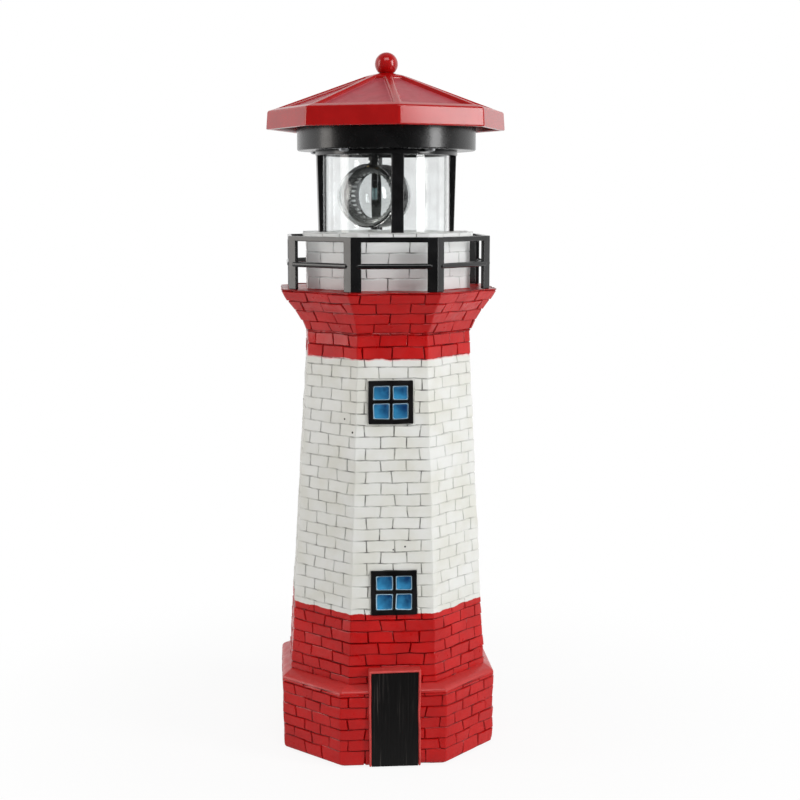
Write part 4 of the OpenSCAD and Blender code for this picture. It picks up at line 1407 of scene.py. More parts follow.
def settled(bm: bmesh.types.BMesh) -> bmesh.types.BMesh:
    """Makes a mesh again with its elements in an order that follows from their places alone.

    Blender's operators hand out new faces in an order that changes from run to run. The random
    draws follow the order of the faces, so this comes before them.

    Args:
        bm: The mesh, which is freed.

    Returns:
        The same shape, with vertices, edges and faces in order.
    """
    def spot(v: bmesh.types.BMVert) -> tuple[float, ...]:
        """A vertex's place, rounded so that the last digits don't decide."""
        return (round(v.co.z, 3) + 0.0, round(v.co.y, 3) + 0.0, round(v.co.x, 3) + 0.0)

    order = sorted(bm.verts, key=spot)
    number = {v: i for i, v in enumerate(order)}
    loops = []
    for f in bm.faces:
        loop = [number[v] for v in f.verts]
        start = loop.index(min(loop))
        loops.append(loop[start:] + loop[:start])
    lines = sorted(sorted(number[v] for v in e.verts) for e in bm.edges)
    fresh = bmesh.new()
    verts = [fresh.verts.new(v.co) for v in order]
    for first, second in lines:
        fresh.edges.new((verts[first], verts[second]))
    for loop in sorted(loops):
        fresh.faces.new([verts[i] for i in loop])
    fresh.normal_update()
    bm.free()
    return fresh


def cut(bm: bmesh.types.BMesh, faces: list, at: Vector, normal: Vector) -> list:
    """Cuts faces along a plane.

    Args:
        bm: The mesh.
        faces: The faces to cut.
        at: A point on the plane.
        normal: The plane's normal.

    Returns:
        The new edges on the plane.
    """
    if not faces:
        return []
    geom = faces + only(e for f in faces for e in f.edges) + only(v for f in faces for v in f.verts)
    out = bmesh.ops.bisect_plane(bm, geom=geom, plane_co=at, plane_no=normal, dist=1e-4)
    return [e for e in out["geom_cut"] if isinstance(e, bmesh.types.BMEdge)]


@dataclass
class Door:
    """The plank door with its carved grain."""

    planks: int = 5
    seam: float = 0.16
    seam_width: float = 0.45
    grain_depth: float = 0.12
    grain_scale: Flat = (1.3, 0.06)
    grain_slice: float = 3.1
    back: float = -50.0

    def build(self) -> None:
        """Builds the door from a fine sheet that noise stretched along the boards presses in."""
        low, high = box_mm("door")
        form = Form()
        width, height = high.x - low.x, high.z - low.z
        bmesh.ops.create_grid(form.bm, x_segments=72, y_segments=60, size=0.5,
                              matrix=Matrix.Diagonal((width, height, 1, 1)))
        form.place(Matrix.Translation((0, low.y, (low.z + high.z) / 2)) @ Matrix.Rotation(TAU / 4, 4, "X"))
        board = width / self.planks
        fine, long = self.grain_scale
        for v in form.bm.verts:
            spot = Vector((v.co.x * fine, self.grain_slice, v.co.z * long))
            fibre = noise.fractal(spot, 1.0, 2.1, 4)
            off = abs((v.co.x - low.x) / board - round((v.co.x - low.x) / board)) * board
            inside = min(v.co.x - low.x, high.x - v.co.x) > 1
            seam = max(0.0, 1 - off / self.seam_width) if inside else 0.0
            v.co.y += self.grain_depth * (1 + fibre) + self.seam * seam
        fresh, _ = grown(form.bm, [e for e in form.bm.edges if e.is_boundary])
        for v in fresh:
            v.co.y = self.back
        bmesh.ops.holes_fill(form.bm, edges=[e for e in form.bm.edges if e.is_boundary], sides=0)
        bmesh.ops.recalc_face_normals(form.bm, faces=form.bm.faces)
        form.piece("plank_door", Body.TOWER, "door", "black_painted_wood_grain", (Finish.DOOR,), 60.0)


@dataclass
class Window:
    """One small window: a black frame with four pillowed panes.

    across and up are the widths of bar, pane, bar, pane and bar from the lower left corner. Each
    step of the pillow is how far it shrinks, how far it rises and how much of its edge line it has.
    """

    which: str
    middle: Flat
    scale: float = 1.0
    across: tuple[float, ...] = (2.3, 8.5, 1.2, 8.1, 2.3)
    up: tuple[float, ...] = (2.3, 8.2, 1.5, 7.3, 2.5)
    proud: float = 1.2
    seat: float = 0.8
    waves: Flat = (6.0, 0.3)
    pillow: tuple[tuple[float, float, float], ...] = (
        (0.91, 0.15, 1.0), (0.965, -0.2, 0.0), (0.9, 0.22, 0.0), (0.7, 0.12, 0.0), (0.5, 0.04, 0.0),
    )

    def wall(self) -> Matrix:
        """Carries a window drawn flat to its place on the leaning front wall.

        Returns:
            The move and turn.
        """
        x, z = self.middle
        tower = TowerCasting
        fall = (tower.shaft_apothem - tower.collar_apothem) / (tower.collar - tower.shaft)
        y = -(tower.shaft_apothem - (z - tower.shaft) * fall)
        return Matrix.Translation((x, y, z)) @ Matrix.Rotation(TAU / 4 - math.atan(fall), 4, "X")

    def lines(self, widths: tuple[float, ...]) -> list[float]:
        """The places of the six lines that part bars from panes.

        Args:
            widths: The widths of bars and panes.

        Returns:
            The places, from the window's middle.
        """
        places = [-sum(widths) / 2]
        for width in widths:
            places.append(places[-1] + width)
        return [place * self.scale for place in places]

    def pane_spots(self) -> list[tuple[Flat, Flat]]:
        """The corners of the four panes, drawn flat."""
        x, y = self.lines(self.across), self.lines(self.up)
        return [((x[i], y[j]), (x[i + 1], y[j + 1])) for i in (1, 3) for j in (1, 3)]

    def frame(self) -> None:
        """The frame: a sheet with its panes cut out, thickened and rounded."""
        form = Form()
        bm = form.bm
        x, y = self.lines(self.across), self.lines(self.up)
        bmesh.ops.create_grid(bm, x_segments=1, y_segments=1, size=0.5,
                              matrix=Matrix.Diagonal((x[-1] - x[0], y[-1] - y[0], 1, 1)))
        for places, axis in ((x, ACROSS), (y, -FRONT)):
            for place in places[1:-1]:
                cut(bm, list(bm.faces), axis * place, axis)
        middles = [(f, f.calc_center_median()) for f in bm.faces]
        inside = [f for f, c in middles if any(x0 < c.x < x1 and y0 < c.y < y1
                                               for (x0, y0), (x1, y1) in self.pane_spots())]
        bmesh.ops.delete(bm, geom=inside, context="FACES")
        bmesh.ops.translate(bm, verts=bm.verts, vec=(0, 0, -self.seat))
        out = bmesh.ops.extrude_face_region(bm, geom=list(bm.faces))["geom"]
        bmesh.ops.translate(bm, verts=verts_of(out), vec=(0, 0, self.proud + self.seat))
        bmesh.ops.recalc_face_normals(bm, faces=bm.faces)
        posts = [e for e in standing(bm) if e.calc_face_angle(0) > 1]
        bmesh.ops.bevel(bm, geom=posts, offset=0.5, segments=3, profile=0.5, affect="EDGES", material=-1)
        form.soften(0.3, 3, 50.0)
        form.place(self.wall()).wobble(*self.waves)
        form.piece(f"{self.which}_frame", Body.TOWER, f"{self.which}_window_frame", "black_frame_paint",
                   (Finish.FRAME,))

    def panes(self) -> None:
        """The panes: soft pillows that carry their edge line and their brighter lower end."""
        form = Form()
        for (x0, y0), (x1, y1) in self.pane_spots():
            pane = Form().block((x0 + 0.05, y0 + 0.05, -self.seat), (x1 - 0.05, y1 - 0.05, self.proud - 0.6))
            bmesh.ops.bevel(pane.bm, geom=standing(pane.bm), offset=1.0, segments=4, profile=0.5,
                            affect="EDGES", material=-1)
            pane.bm.normal_update()
            rim = pane.bm.verts.layers.float.new("rim")
            low = pane.bm.verts.layers.float.new("low")
            top = [f for f in pane.bm.faces if f.normal.z > 0.9]
            for v in pane.bm.verts:
                v[rim] = 1.0
            middle = Vector(((x0 + x1) / 2, (y0 + y1) / 2, 0))
            for shrink, rise, share in self.pillow:
                bmesh.ops.inset_region(pane.bm, faces=top, thickness=0.01, depth=0)
                for v in only(v for f in top for v in f.verts):
                    flat = middle + (v.co - middle) * shrink
                    v.co = (flat.x, flat.y, v.co.z + rise)
                    v[rim] = share
            for v in pane.bm.verts:
                v[low] = max(0.0, 1 - 0.8 * (v.co.y - y0) / (y1 - y0) - 0.7 * (v.co.x - x0) / (x1 - x0))
            form.take(pane)
        form.place(self.wall()).wobble(*self.waves)
        form.piece(f"{self.which}_panes", Body.TOWER, f"{self.which}_window_panes", "blue_pane_paint",
                   (Finish.PANE,), 70.0)

    def build(self) -> None:
        """Builds the frame and its panes."""
        self.frame()
        self.panes()


@dataclass
class Railing:
    """The gallery's octagonal railing: flat posts at the corners and two rails."""

    apothem: float = 51.2
    thick: float = 2.0
    post: float = 5.0
    top_rail: float = 2.5
    bar_radius: float = 1.35
    bar_height: float = 12.7
    bar_proud: float = 0.3
    bar_gap: float = 2.6
    edge: float = 0.35
    near: float = 45.0

    def build(self) -> None:
        """Cuts the openings from a thin octagonal wall, thickens it and adds the bars."""
        high = box_mm("railing")[1].z
        floor = TowerCasting.gallery
        form = Form()
        bm = form.bm
        corners = octagon(self.apothem / math.cos(TAU / 16), SIDE_TURN / 2)
        verts = [bm.verts.new((x, y, floor)) for x, y in corners]
        raised, _ = grown(bm, [bm.edges.new((verts[i - 1], verts[i])) for i in range(SIDES)])
        bmesh.ops.translate(bm, verts=raised, vec=(0, 0, high - floor))
        half = self.apothem * OCTAGON
        cut(bm, list(bm.faces), UP * (high - self.top_rail), UP)
        for sector in range(SIDES):
            turn = upright(SIDE_TURN * sector)
            along, facing = turn @ ACROSS, turn @ FRONT
            for side in (-1, 1):
                faces = [f for f in bm.faces if f.calc_center_median().dot(facing) > self.near]
                cut(bm, faces, along * side * (half - self.post), along)
            middles = [(f, f.calc_center_median()) for f in bm.faces]
            gone = [f for f, c in middles if c.dot(facing) > self.near and abs(c.dot(along)) < 1
                    and c.z < high - self.top_rail]
            bmesh.ops.delete(bm, geom=gone, context="FACES")
        bmesh.ops.recalc_face_normals(bm, faces=bm.faces)
        if sum(f.normal.dot(f.calc_center_median() * Vector((1, 1, 0))) for f in bm.faces) < 0:
            bmesh.ops.reverse_faces(bm, faces=bm.faces)
        bmesh.ops.solidify(bm, geom=list(bm.faces), thickness=self.thick)
        bmesh.ops.recalc_face_normals(bm, faces=bm.faces)
        form.soften(self.edge, 2, 30.0)
        middle = self.apothem - self.thick / 2 + self.bar_proud
        for sector in range(SIDES):
            ends = [upright(SIDE_TURN * sector) @ Vector((side * (half - self.bar_gap), -middle,
                                                          floor + self.bar_height)) for side in (-1, 1)]
            form.take(Form().rod(ends[0], ends[1], self.bar_radius).soften(0.9, 3, 60.0))
        form.piece("gallery_railing", Body.TOWER, "railing", "black_rail_plastic", (Finish.RAIL,))


@dataclass
class Underside:
    """The base cover and the rubber feet."""

    foot_at: float = 34.0
    cover_half: float = 24.5
    pad: tuple[Flat, ...] = (
        (0, 0.25), (4.4, 0.25), (5.2, 0), (6.2, 0), (6.7, 0.4), (7, 0.8), (7, 1.2), (0, 1.2),
    )

    def cover(self) -> None:
        """The cover, sunk inside a raised rim."""
        low, high = box_mm("base_cover")
        form = Form().prism(cut_square(self.cover_half, high.y), low.z, high.z)
        under = [f for f in form.bm.faces if f.normal.z < -0.9]
        bmesh.ops.inset_region(form.bm, faces=under, thickness=3.0, depth=0)
        bmesh.ops.inset_region(form.bm, faces=under, thickness=0.5, depth=-0.5)
        form.soften(0.3, 2)
        form.piece("base_plate", Body.TOWER, "base_cover", "black_base_plastic", (Finish.BASE,))

    def feet(self) -> None:
        """Four feet with a soft edge and a shallow suction dish."""
        form = Form()
        for quarter in range(4):
            at = upright(90 * quarter) @ Vector((self.foot_at, 0, 0))
            form.turned(self.pad, 48, (at.x, at.y))
        form.piece("feet", Body.TOWER, "rubber_feet", "foot_rubber", (Finish.RUBBER,))

    def build(self) -> None:
        """Builds what shows from below."""
        self.cover()
        self.feet()


# ---------------------------------------------------------------- lantern head


@dataclass
class Lantern:
    """The white seat, the black cage and the clear cylinder."""

    deck: float = 269.3
    seat_radius: float = 38.6
    glass_out: float = 33.0
    glass_in: float = 31.4
    groove: float = 1.4
    spigot: float = 34.2
    spigot_bore: float = 31.0
    post_width: float = 6.2
    post_low: float = 2.2
    post_top: float = 3.2
    cage_turn: float = 4.7
    collar_height: float = 2.5
    beacon_x: float = -6.0

    def seat(self) -> None:
        """The seat: flange, groove for the cylinder, spigot below and a boss for the pivot."""
        low = box_mm("lantern_base")[0].z
        top, g = self.deck, self.groove
        inner, outer = self.glass_in - 0.1, self.glass_out + 0.1
        profile = [
            (0, top), (inner, top), (inner, top - g), (outer, top - g), (outer, top), (self.seat_radius, top),
            (self.seat_radius, top - 2), (self.spigot, top - 2), (self.spigot, low), (self.spigot_bore, low),
            (self.spigot_bore, top - 4), (0, top - 4),
        ]
        form = Form().turned(profile, 128).soften(0.3, 2)
        boss = [(0, -1), (4.6, -1), (4.3, -0.1), (3.5, 0.25), (3.2, 1), (0, 1)]
        form.take(Form().turned([(r, top + z) for r, z in boss], 48, (self.beacon_x, 0)))
        form.piece("lantern_seat", Body.HEAD, "lantern_base", "white_seat_plastic", (Finish.SEAT,))

    def cage(self) -> None:
        """Four flared posts under a collar."""
        pan = box_mm("electronics_pan")[0].z
        collar, inner = pan - self.collar_height, self.glass_out + 0.1
        form = Form()
        low, outer = self.deck - self.groove, inner + self.post_low
        side = [(inner, low), (outer, low), (outer, self.deck), (inner + self.post_top, collar + 0.2),
                (inner, collar + 0.2)]
        for quarter in range(4):
            post = Form().prism(side, -self.post_width / 2, self.post_width / 2).soften(0.5, 3)
            turn = upright(self.cage_turn + 90 * quarter) @ Matrix.Rotation(TAU / 4, 4, "X")
            form.take(post.place(turn))
        ring = Form().turned([(inner, collar), (inner + 3.5, collar), (inner + 3.5, pan), (inner, pan)], 128)
        form.take(ring.soften(0.4, 2))
        form.piece("lantern_cage", Body.HEAD, "lantern_posts", "black_cage_plastic", (Finish.CAGE,))

    def cylinder(self) -> None:
        """The clear cylinder with polished edges."""
        low, high = box_mm("glass_cylinder")
        form = Form().turned([(self.glass_in, low.z), (self.glass_out, low.z),
                              (self.glass_out, high.z), (self.glass_in, high.z)], 160)
        form.soften(0.25, 2)
        form.piece("lantern_glass", Body.HEAD, "glass_cylinder", "clear_cylinder", (Finish.GLASS,))

    def build(self) -> None:
        """Builds the lantern's three fixed pieces."""
        self.seat()
        self.cage()
        self.cylinder()


@dataclass
class Roof:
    """The eight-sided red roof with raised hips, its finial and the cells on its rear facets."""

    turn: float = 1.2
    brim: float = 61.9
    rise: float = 19.5
    hip: float = 1.9
    sink: float = 1.6
    wall: float = 2.2
    eaves: float = 9.3
    neck: float = 3.3
    ball: float = 5.9
    cell_thick: float = 0.85
    cell_facets: tuple[int, ...] = (2, 3, 4, 5)

    def levels(self) -> list[tuple[float, float]]:
        """The shell's outside.

        Returns:
            Height and corner radius of each level, from the brim to the neck.
        """
        low = box_mm("roof")[0].z
        eaves = low + self.eaves
        return [(low, self.brim), (eaves, self.brim - 0.7), (eaves + 1.1, self.brim - 4.3),
                (eaves + self.rise * 0.923, self.brim * 0.166), (eaves + self.rise, self.neck)]

    def shell(self) -> Form:
        """The shell with its hollow, before the panels are sunk.

        Returns:
            The shell.
        """
        form = Form()
        bm = form.bm
        levels = self.levels()
        t = self.wall
        inner = [(levels[0][0], self.brim - t - 0.6), (levels[1][0] - t - 0.6, self.brim - t - 1.2),
                 (levels[2][0] - t - 1.0, levels[2][1] - 0.6), (levels[3][0] - t - 1.6, levels[3][1])]
        path = inner[::-1] + levels
        verts = [bm.verts.new((x, y, path[0][0])) for x, y in octagon(path[0][1], -90)]
        bm.faces.new(verts)
        edges = list(bm.edges)
        for z, radius in path[1:]:
            edges = ringed(bm, edges, radius, z)
        bmesh.ops.holes_fill(bm, edges=edges, sides=0)
        bmesh.ops.recalc_face_normals(bm, faces=bm.faces)
        return form

    def build(self) -> None:
        """Builds the roof, the finial and the solar cells."""
        form = self.shell()
        bm = form.bm
        levels = self.levels()
        facets = [f for f in bm.faces
                  if f.normal.z > 0.5 and levels[2][0] < f.calc_center_median().z < levels[3][0]]
        bmesh.ops.inset_individual(bm, faces=facets, thickness=self.hip, depth=0, use_even_offset=True)
        sunk = [(f.normal.copy(), [v.co.copy() for v in f.verts]) for f in facets]
        bmesh.ops.inset_individual(bm, faces=facets, thickness=0.45, depth=-self.sink, use_even_offset=True)
        # The sunk panels take the pinker finish with its painted reflection.
        for f in facets:
            f.material_index = 1
        form.soften(0.8, 3, 9.0)
        for f in bm.faces:
            if f.normal.z > 0.4 and f.material_index == 0:
                f.material_index = 2
        form.place(upright(self.turn))
        form.piece("roof_shell", Body.HEAD, "roof", "red_roof_plastic",
                   (Finish.ROOF, Finish.PANEL_SHEEN, Finish.RIB), 45.0)
        self.finial(levels[-1][0])
        self.cells(sunk)

    def finial(self, peak: float) -> None:
        """The ball on its flared neck.

        Args:
            peak: Height of the shell's top.
        """
        neck, r = self.neck, self.ball
        middle = peak + math.sqrt(r * r - neck * neck) - 0.4
        start = math.asin((peak + 0.3 - middle) / r)
        foot = [(0, peak - 2.4), (1.6, peak - 2.4), (1.6, peak - 0.4), (neck + 1.1, peak - 0.4),
                (neck + 0.3, peak)]
        form = Form().turned(foot + arch(r, start, 20, middle) + [(0, middle + r)], 64)
        form.piece("finial_ball", Body.HEAD, "finial", "red_roof_plastic", (Finish.ROOF,), 60.0)

    def cells(self, sunk: list[tuple[Vector, list[Vector]]]) -> None:
        """Flat cells that fill the sunk panels of the rear facets.

        Args:
            sunk: Direction and outline of each facet's panel, before it is sunk.
        """
        form = Form()
        bm = form.bm
        run = bm.verts.layers.float.new("run")
        across = bm.verts.layers.float.new("across")
        for normal, outline in sunk:
            facet = round((math.degrees(math.atan2(normal.y, normal.x)) + 90) / SIDE_TURN - 0.5) % SIDES
            if facet not in self.cell_facets:
                continue
            middle = sum(outline, Vector()) / len(outline)
            down = normal.cross(UP.cross(normal)).normalized()
            side = normal.cross(down)
            sheet = [middle + (p - middle) * 0.93 - normal * self.sink for p in outline]
            face = bm.faces.new([bm.verts.new(p) for p in sheet])
            out = bmesh.ops.extrude_face_region(bm, geom=[face])["geom"]
            bmesh.ops.translate(bm, verts=verts_of(out), vec=normal * self.cell_thick)
            for v in only([*face.verts, *verts_of(out)]):
                v[run] = (v.co - middle).dot(side) + 50
                v[across] = (v.co - middle).dot(down) + 50
        bmesh.ops.recalc_face_normals(bm, faces=bm.faces)
        form.soften(0.15, 1)
        form.place(upright(self.turn))
        form.piece("solar_cells", Body.HEAD, "solar_panels", "solar_cell_laminate", (Finish.SOLAR,))


@dataclass
class Housing:
    """The round black housing under the roof, with its screws and switch."""

    radius: float = 46.0
    wall: float = 2.0
    hole: float = 4.65
    hole_x: float = -6.0
    slot: Flat = (3.9, 1.5)
    switch_z: float = 316.0
    screw_at: float = 39.9
    screw_angles: tuple[float, ...] = (25, 155, 234, 298)
    pillars: tuple[Flat, ...] = ((-20, 14), (-12, -20), (31, -19), (33, 9))
    rear: float = 40.0

    def pan(self) -> None:
        """A cup raised from a ring, slotted for the switch, thickened inwards."""
        low, high = box_mm("electronics_pan")
        form = Form()
        bm = form.bm
        rings = []
        for radius, x in ((self.hole, self.hole_x), (self.radius - 0.8, 0)):
            verts = bmesh.ops.create_circle(bm, segments=128, radius=radius,
                                            matrix=Matrix.Translation((x, 0, low.z)))["verts"]
            rings.append(only(e for v in verts for e in v.link_edges))
        inner, edges = rings
        bmesh.ops.bridge_loops(bm, edges=inner + edges)
        climb = ((self.radius - 0.24, low.z + 0.24), (self.radius, low.z + 0.8), (self.radius, high.z))
        for radius, z in climb:
            edges = ringed(bm, edges, radius, z)
        bmesh.ops.recalc_face_normals(bm, faces=bm.faces)
        half, tall = self.slot
        sides = ((UP, self.switch_z - tall), (UP, self.switch_z + tall), (ACROSS, -half), (ACROSS, half))
        for axis, at in sides:
            rear = [f for f in bm.faces if f.calc_center_median().y > self.rear and abs(f.normal.z) < 0.5]
            cut(bm, rear, axis * at, axis)
        middles = [(f, f.calc_center_median()) for f in bm.faces]
        gone = [f for f, c in middles
                if c.y > self.rear and abs(c.x) < half and abs(c.z - self.switch_z) < tall]
        bmesh.ops.delete(bm, geom=gone, context="FACES")
        wall_face = max(bm.faces, key=lambda f: f.calc_center_median().x)
        if wall_face.normal.x < 0:
            bmesh.ops.reverse_faces(bm, faces=bm.faces)
        bmesh.ops.solidify(bm, geom=list(bm.faces), thickness=self.wall)
        bmesh.ops.recalc_face_normals(bm, faces=bm.faces)
        floor = low.z + self.wall - 0.1
        for angle in self.screw_angles:
            at = upright(angle) @ Vector((self.screw_at, 0, 0))
            form.turned([(1.6, floor), (3.4, floor), (3.4, floor + 11.3), (1.6, floor + 11.5)], 32,
                        (at.x, at.y))
        plate = box_mm("gearbox_plate")[0].z
        for x, y in self.pillars:
            form.turned([(0.8, floor), (2.5, floor), (2.5, plate), (0.8, plate)], 24, (x, y))
        form.piece("housing_pan", Body.HEAD, "electronics_pan", "black_housing_plastic", (Finish.HOUSING,))

    def build(self) -> None:
        """Builds the housing and its screws."""
        self.pan()
        low = box_mm("electronics_pan")[0].z
        form = Form()
        for angle in self.screw_angles:
            at = upright(angle) @ Vector((self.screw_at, 0, 0))
            form.take(cross_screw(1.3, 20.0, 2.6, 1.2).place(Matrix.Translation((at.x, at.y, low))))
        form.piece("housing_screws", Body.HEAD, "roof_screws", "plated_screw_steel", (Finish.STEEL,))


def cross_screw(radius: float, length: float, head: float, head_height: float) -> Form:
    """A pan-head screw that points up, its head below zero, with a cross on the head.

    Args:
        radius: Radius of the thread.
        length: Length of the thread.
        head: Radius of the head.
        head_height: Height of the head.

    Returns:
        The screw.
    """
    dome = [(0, -head_height), (head * 0.55, -head_height), (head * 0.85, -head_height * 0.8),
            (head, -head_height * 0.35), (head, 0)]
    turns = int(length / 0.8)
    thread = [(radius * (0.97 if i % 2 else 0.86), 0.4 + i * 0.4) for i in range(2 * turns - 2)]
    form = Form().turned(dome + thread + [(radius * 0.5, length), (0, length)], 32)
    reach, half = head * 0.55, radius * 0.16
    for turn in (0, 90):
        bar = Form().block((-reach, -half, -head_height - 0.02), (reach, half, -head_height + 0.02))
        form.take(bar.place(upright(turn)))
    return form


# ---------------------------------------------------------------- beacon


@dataclass
class Beacon:
    """The turning beacon: a barrel on an upright shaft between two clear domes."""

    x: float = -6.0
    z: float = 287.6
    turn: float = -34.5
    barrel: float = 16.2
    length: float = 13.3
    bore: float = 12.2
    cone_end: float = -2.4
    band: Flat = (0.5, 4.5)
    dome: float = 15.7
    dome_wall: float = 0.9
    plug: float = 14.4
    plug_depth: float = 1.0
    rim: float = 1.2
    steps: int = 24
    ribs: int = 30
    rib_half: float = 0.65
    neck: tuple[Flat, ...] = (
        (3.4, -0.4), (3.4, 0.6), (2.7, 0.8), (2.7, 1.6), (3.4, 1.8), (3.4, 2.8), (3.2, 3.0),
    )
    lamp_radius: float = 1.5

    def axis(self) -> Matrix:
        """Carries a shape drawn about +Z to the barrel's level axis."""
        return Matrix.Translation((self.x, 0, self.z)) @ upright(self.turn) @ Matrix.Rotation(TAU / 4, 4, "X")

    def housing(self) -> None:
        """The barrel with a ribbed bore, its hub, shaft and pivot pin."""
        half, lip, step = self.length / 2, self.plug + 0.1, self.length / 2 - self.plug_depth - 0.1
        low, high = self.band
        profile = [(self.bore, self.cone_end), (lip - 0.3, -step), (lip, -step), (lip, -half),
                   (self.barrel, -half), (self.barrel, half), (lip, half), (lip, step), (lip - 0.3, step),
                   (self.bore, high + 0.1)]
        form = Form().turned(profile, 128)
        form.soften(0.2, 2)
        for f in form.bm.faces:
            c = f.calc_center_median()
            if c.xy.length < lip - 0.1 and not self.cone_end + 0.1 < c.z < high:
                f.material_index = 1
        for i in range(self.ribs):
            rib = Form().block((self.bore - 0.4, -self.rib_half, low), (self.bore + 0.5, self.rib_half, high))
            rib.soften(0.12, 1).place(upright(360 / self.ribs * i))
            for f in rib.bm.faces:
                f.material_index = 2
            form.take(rib)
        form.place(self.axis())
        top = box_mm("beacon_gear")[1].z
        tip = box_mm("beacon_housing")[0].z
        inner = self.bore + 1.2
        crown = [(r, self.z + self.barrel + z) for r, z in self.neck]
        form.turned([(1.8, self.z + inner), (3.2, self.z + inner), *crown, (3.2, top), (1.8, top)], 48,
                    (self.x, 0))
        foot = self.z - self.barrel - 0.5
        form.turned([(0, tip), (1.2, tip), (1.5, tip + 0.3), (1.5, foot), (2.5, foot), (2.5, self.z - inner),
                     (0, self.z - inner)], 32, (self.x, 0))
        form.piece("beacon_barrel", Body.BEACON, "beacon_housing", "black_beacon_plastic",
                   (Finish.BEACON, Finish.REFLECTOR, Finish.TEETH))

    def lens(self, name: str, node: str, flip: bool) -> None:
        """One hollow dome on its rim, with the lip that plugs into the barrel.

        Args:
            name: The piece's name.
            node: The frame node that it stands for.
            flip: True for the dome on the far side.
        """
        outer, inner, lip, deep = self.dome, self.dome - self.dome_wall, self.plug, self.plug_depth
        over = arch(outer, math.asin(self.rim / outer), self.steps)
        under = arch(inner, 0.0, self.steps)[:0:-1]
        seat = [(lip - 0.5, 0), (lip - 0.5, -deep), (lip, -deep), (lip, 0), (self.barrel, 0),
                (self.barrel, self.rim)]
        form = Form().turned([(0, inner), *under, *seat, *over, (0, outer)], 96)
        form.place(Matrix.Translation((0, 0, self.length / 2)))
        if flip:
            form.place(Matrix.Rotation(TAU / 2, 4, "X"))
        form.place(self.axis())
        form.piece(name, Body.BEACON, node, "clear_dome", (Finish.DOME,), 30.0)

    def lamp(self) -> None:
        """The lamp, rounded at its lower end, at the end of the stem."""
        low, high = box_mm("led")
        r = self.lamp_radius
        middle = low.z + r
        angles = [TAU / 4 * i / 10 for i in range(1, 11)]
        arc = [(r * math.sin(a), middle - r * math.cos(a)) for a in angles]
        form = Form().turned([(0, low.z), *arc, (r, high.z - 0.9), (r, high.z), (0, high.z)], 40, (self.x, 0))
        form.piece("lamp", Body.HEAD, "led", "lamp_lens", (Finish.LAMP,))

    def build(self) -> None:
        """Builds the beacon's pieces."""
        self.housing()
        self.lens("front_dome", "front_lens", False)
        self.lens("rear_dome", "rear_lens", True)
        self.lamp()


# ---------------------------------------------------------------- pieces kept from the frame


KEPT = {
    "base_screws": Finish.STEEL, "seal_ring": Finish.RUBBER, "shaft_bush": Finish.BRASS,
    "gearbox_plate": Finish.NYLON, "gearbox_screws": Finish.STEEL, "motor": Finish.CAN,
    "motor_screws": Finish.STEEL, "idler_pin": Finish.AXLE, "circuit_board": Finish.BOARD,
    "board_parts": Finish.PARTS, "battery": Finish.CELL, "battery_holder": Finish.HOUSING,
    "battery_contacts": Finish.STEEL, "led_stem": Finish.BEACON, "switch_body": Finish.HOUSING,
    "wires": Finish.SLEEVE, "beacon_gear": Finish.NYLON, "idler_gear": Finish.NYLON,
    "motor_pinion": Finish.BRASS, "switch_slider": Finish.CAP,
}


def dress_kept() -> None:
    """Gives every piece kept from the frame its own finish."""
    for node, which in KEPT.items():
        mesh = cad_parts[node].data
        mesh.materials.clear()
        dressed(mesh, (which,))
        LOG.info("%s: kept, in %s", node, which.value.name)


# ---------------------------------------------------------------- studio


@dataclass(frozen=True)
class SoftBox:
    """One soft area lamp aimed at the middle of the tower, in metres and watts."""

    name: str
    place: tuple[float, float, float]
    size: Flat
    power: float
    blue: float = 1.0
    aim: float = 0.2

    def build(self) -> None:
        """Hangs the lamp and aims it."""
        data = bpy.data.lights.new(self.name, "AREA")
        data.shape = "RECTANGLE"
        data.size, data.size_y = self.size
        data.energy = self.power
        data.color = (1.0, (1 + self.blue) / 2, self.blue)
        obj = stand(self.name, data)
        obj.location = self.place
        obj.rotation_euler = (UP * self.aim - Vector(self.place)).to_track_quat("-Z", "Y").to_euler()


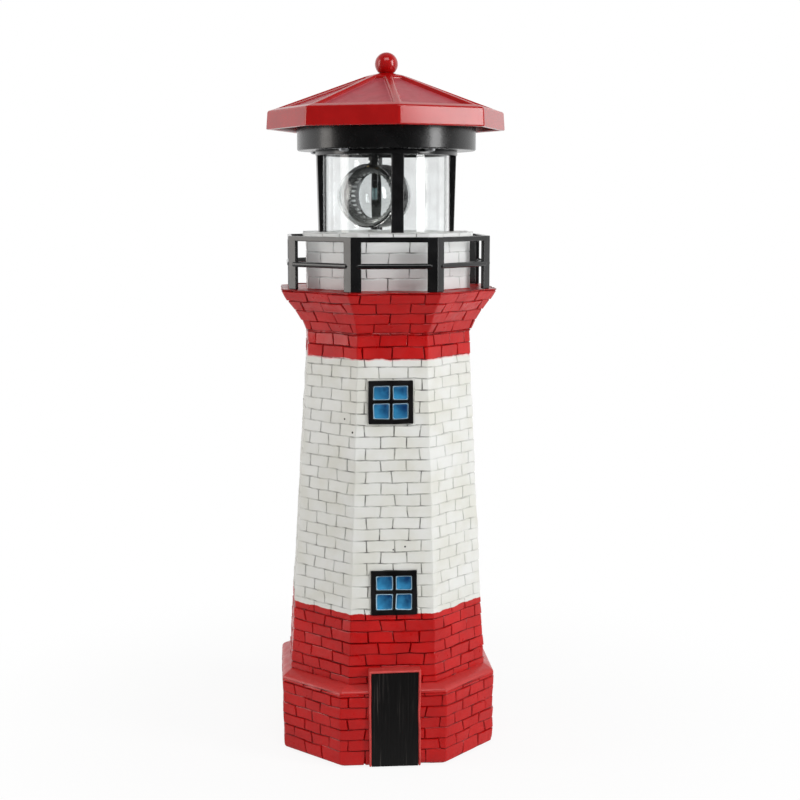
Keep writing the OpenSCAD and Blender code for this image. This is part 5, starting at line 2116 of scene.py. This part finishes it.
@dataclass
class Studio:
    """A pale floor, a white surround, soft lamps and the camera."""

    distance: float = 738.0
    camera_height: float = 286.0
    side: float = 4.48
    pitch: float = 8.12
    focal_pixels: float = 1409.0
    frame_pixels: float = 800.0
    axis_pixel: float = 386.4
    sensor: float = 36.0
    fill: float = 0.4
    front_glow: float = 0.08
    floor_half: float = 6.0
    boxes: tuple[SoftBox, ...] = (
        SoftBox("right_box", (0.95, -0.56, 0.5), (0.32, 0.8), 7.1),
        SoftBox("left_box", (-1.1, -0.09, 0.5), (0.36, 0.9), 3.3, 0.91),
        SoftBox("top_box", (0.0, -0.75, 1.2), (0.8, 0.5), 4.4),
    )

    def camera(self) -> None:
        """Stands the camera where the photograph was taken from."""
        data = bpy.data.cameras.new("camera")
        obj = stand("camera", data)
        yaw = math.radians(self.side)
        obj.location = Vector((-math.sin(yaw), -math.cos(yaw), 0)) * self.distance * MM
        obj.location.z = self.camera_height * MM
        obj.rotation_euler = (math.radians(90 - self.pitch), 0, -yaw)
        data.sensor_width = self.sensor
        data.lens = self.focal_pixels / self.frame_pixels * self.sensor
        data.shift_x = (self.frame_pixels / 2 - self.axis_pixel) / self.frame_pixels
        data.clip_start, data.clip_end = 0.01, 20.0
        bpy.context.scene.camera = obj

    def floor(self) -> None:
        """A large pale floor that shows white and keeps the shadow."""
        bm = bmesh.new()
        bmesh.ops.create_grid(bm, x_segments=1, y_segments=1, size=self.floor_half)
        mesh = bpy.data.meshes.new("floor")
        bm.to_mesh(mesh)
        bm.free()
        obj = stand("floor", mesh)
        recipe = Recipe("floor_paper", (246, 246, 245), 0.9)
        straight, shown = recipe.rays()
        reach = recipe.add("ShaderNodeVectorMath", {0: recipe.where}, operation="LENGTH").outputs["Value"]
        far = recipe.sums("MULTIPLY_ADD", recipe.band(reach, 0.1, 0.3), 0.1, 0.9)
        glossy = recipe.add("ShaderNodeLightPath").outputs["Is Glossy Ray"]
        gloss = recipe.sums("MAXIMUM", glossy, recipe.sums("SUBTRACT", 1.0, straight))
        share = recipe.sums("MAXIMUM", recipe.sums("MULTIPLY", shown, far), gloss)
        behind = recipe.band(recipe.axis("Y"), -0.25, 0.25)
        rear = recipe.sums("MULTIPLY_ADD", behind, 1 - self.front_glow, self.front_glow)
        glow = recipe.add("ShaderNodeEmission", {"Strength": recipe.sums("MAXIMUM", shown, rear)})
        recipe.cover(share, glow.outputs[0])
        mesh.materials.append(recipe.material)

    def surround(self) -> None:
        """White behind the object, the room's dusk in front of it, and a soft fill all round."""
        world = bpy.data.worlds.new("surround")
        world.use_nodes = True
        wiring = Wiring(world.node_tree)
        back = wiring.tree.nodes["Background"]
        back.inputs["Color"].default_value = (1, 1, 1, 1)
        generated = wiring.add("ShaderNodeTexCoord").outputs["Generated"]
        toward = wiring.add("ShaderNodeSeparateXYZ", {0: generated}).outputs
        behind = {"Value": toward["Y"], "From Min": -0.35, "From Max": 0.3, "To Min": self.front_glow,
                  "To Max": 1.0}
        above = {"Value": toward["Z"], "From Min": 0.5, "From Max": 0.75, "To Min": 1.0, "To Max": 0.35}
        parts = [wiring.add("ShaderNodeMapRange", links).outputs[0] for links in (behind, above)]
        rear = wiring.sums("MULTIPLY", *parts)
        straight, shown = wiring.rays()
        glossy = {0: straight, 2: rear, 3: self.fill}
        gloss = wiring.add("ShaderNodeMix", glossy, data_type="FLOAT").outputs[0]
        light = wiring.add("ShaderNodeMix", {0: shown, 2: gloss, 3: 1.0}, data_type="FLOAT").outputs[0]
        wiring.tree.links.new(light, back.inputs["Strength"])
        bpy.context.scene.world = world

    def build(self) -> None:
        """Sets the stage."""
        self.camera()
        self.floor()
        self.surround()
        for box in self.boxes:
            box.build()


def main() -> None:
    """Builds every sub-assembly in order."""
    logging.basicConfig(level=logging.INFO, format="%(message)s", stream=sys.stdout)
    scene = bpy.context.scene
    scene.view_settings.view_transform = "Standard"
    noise.seed_set(NOISE_SEED)
    Studio().build()
    for part in (TowerCasting(), Door(), Window("upper", (-1.2, 185.7)), Window("lower", (0.0, 89.5), 1.04),
                 Railing(), Underside(), Lantern(), Roof(), Housing(), Beacon()):
        part.build()
    dress_kept()


if __name__ == "__main__":
    main()
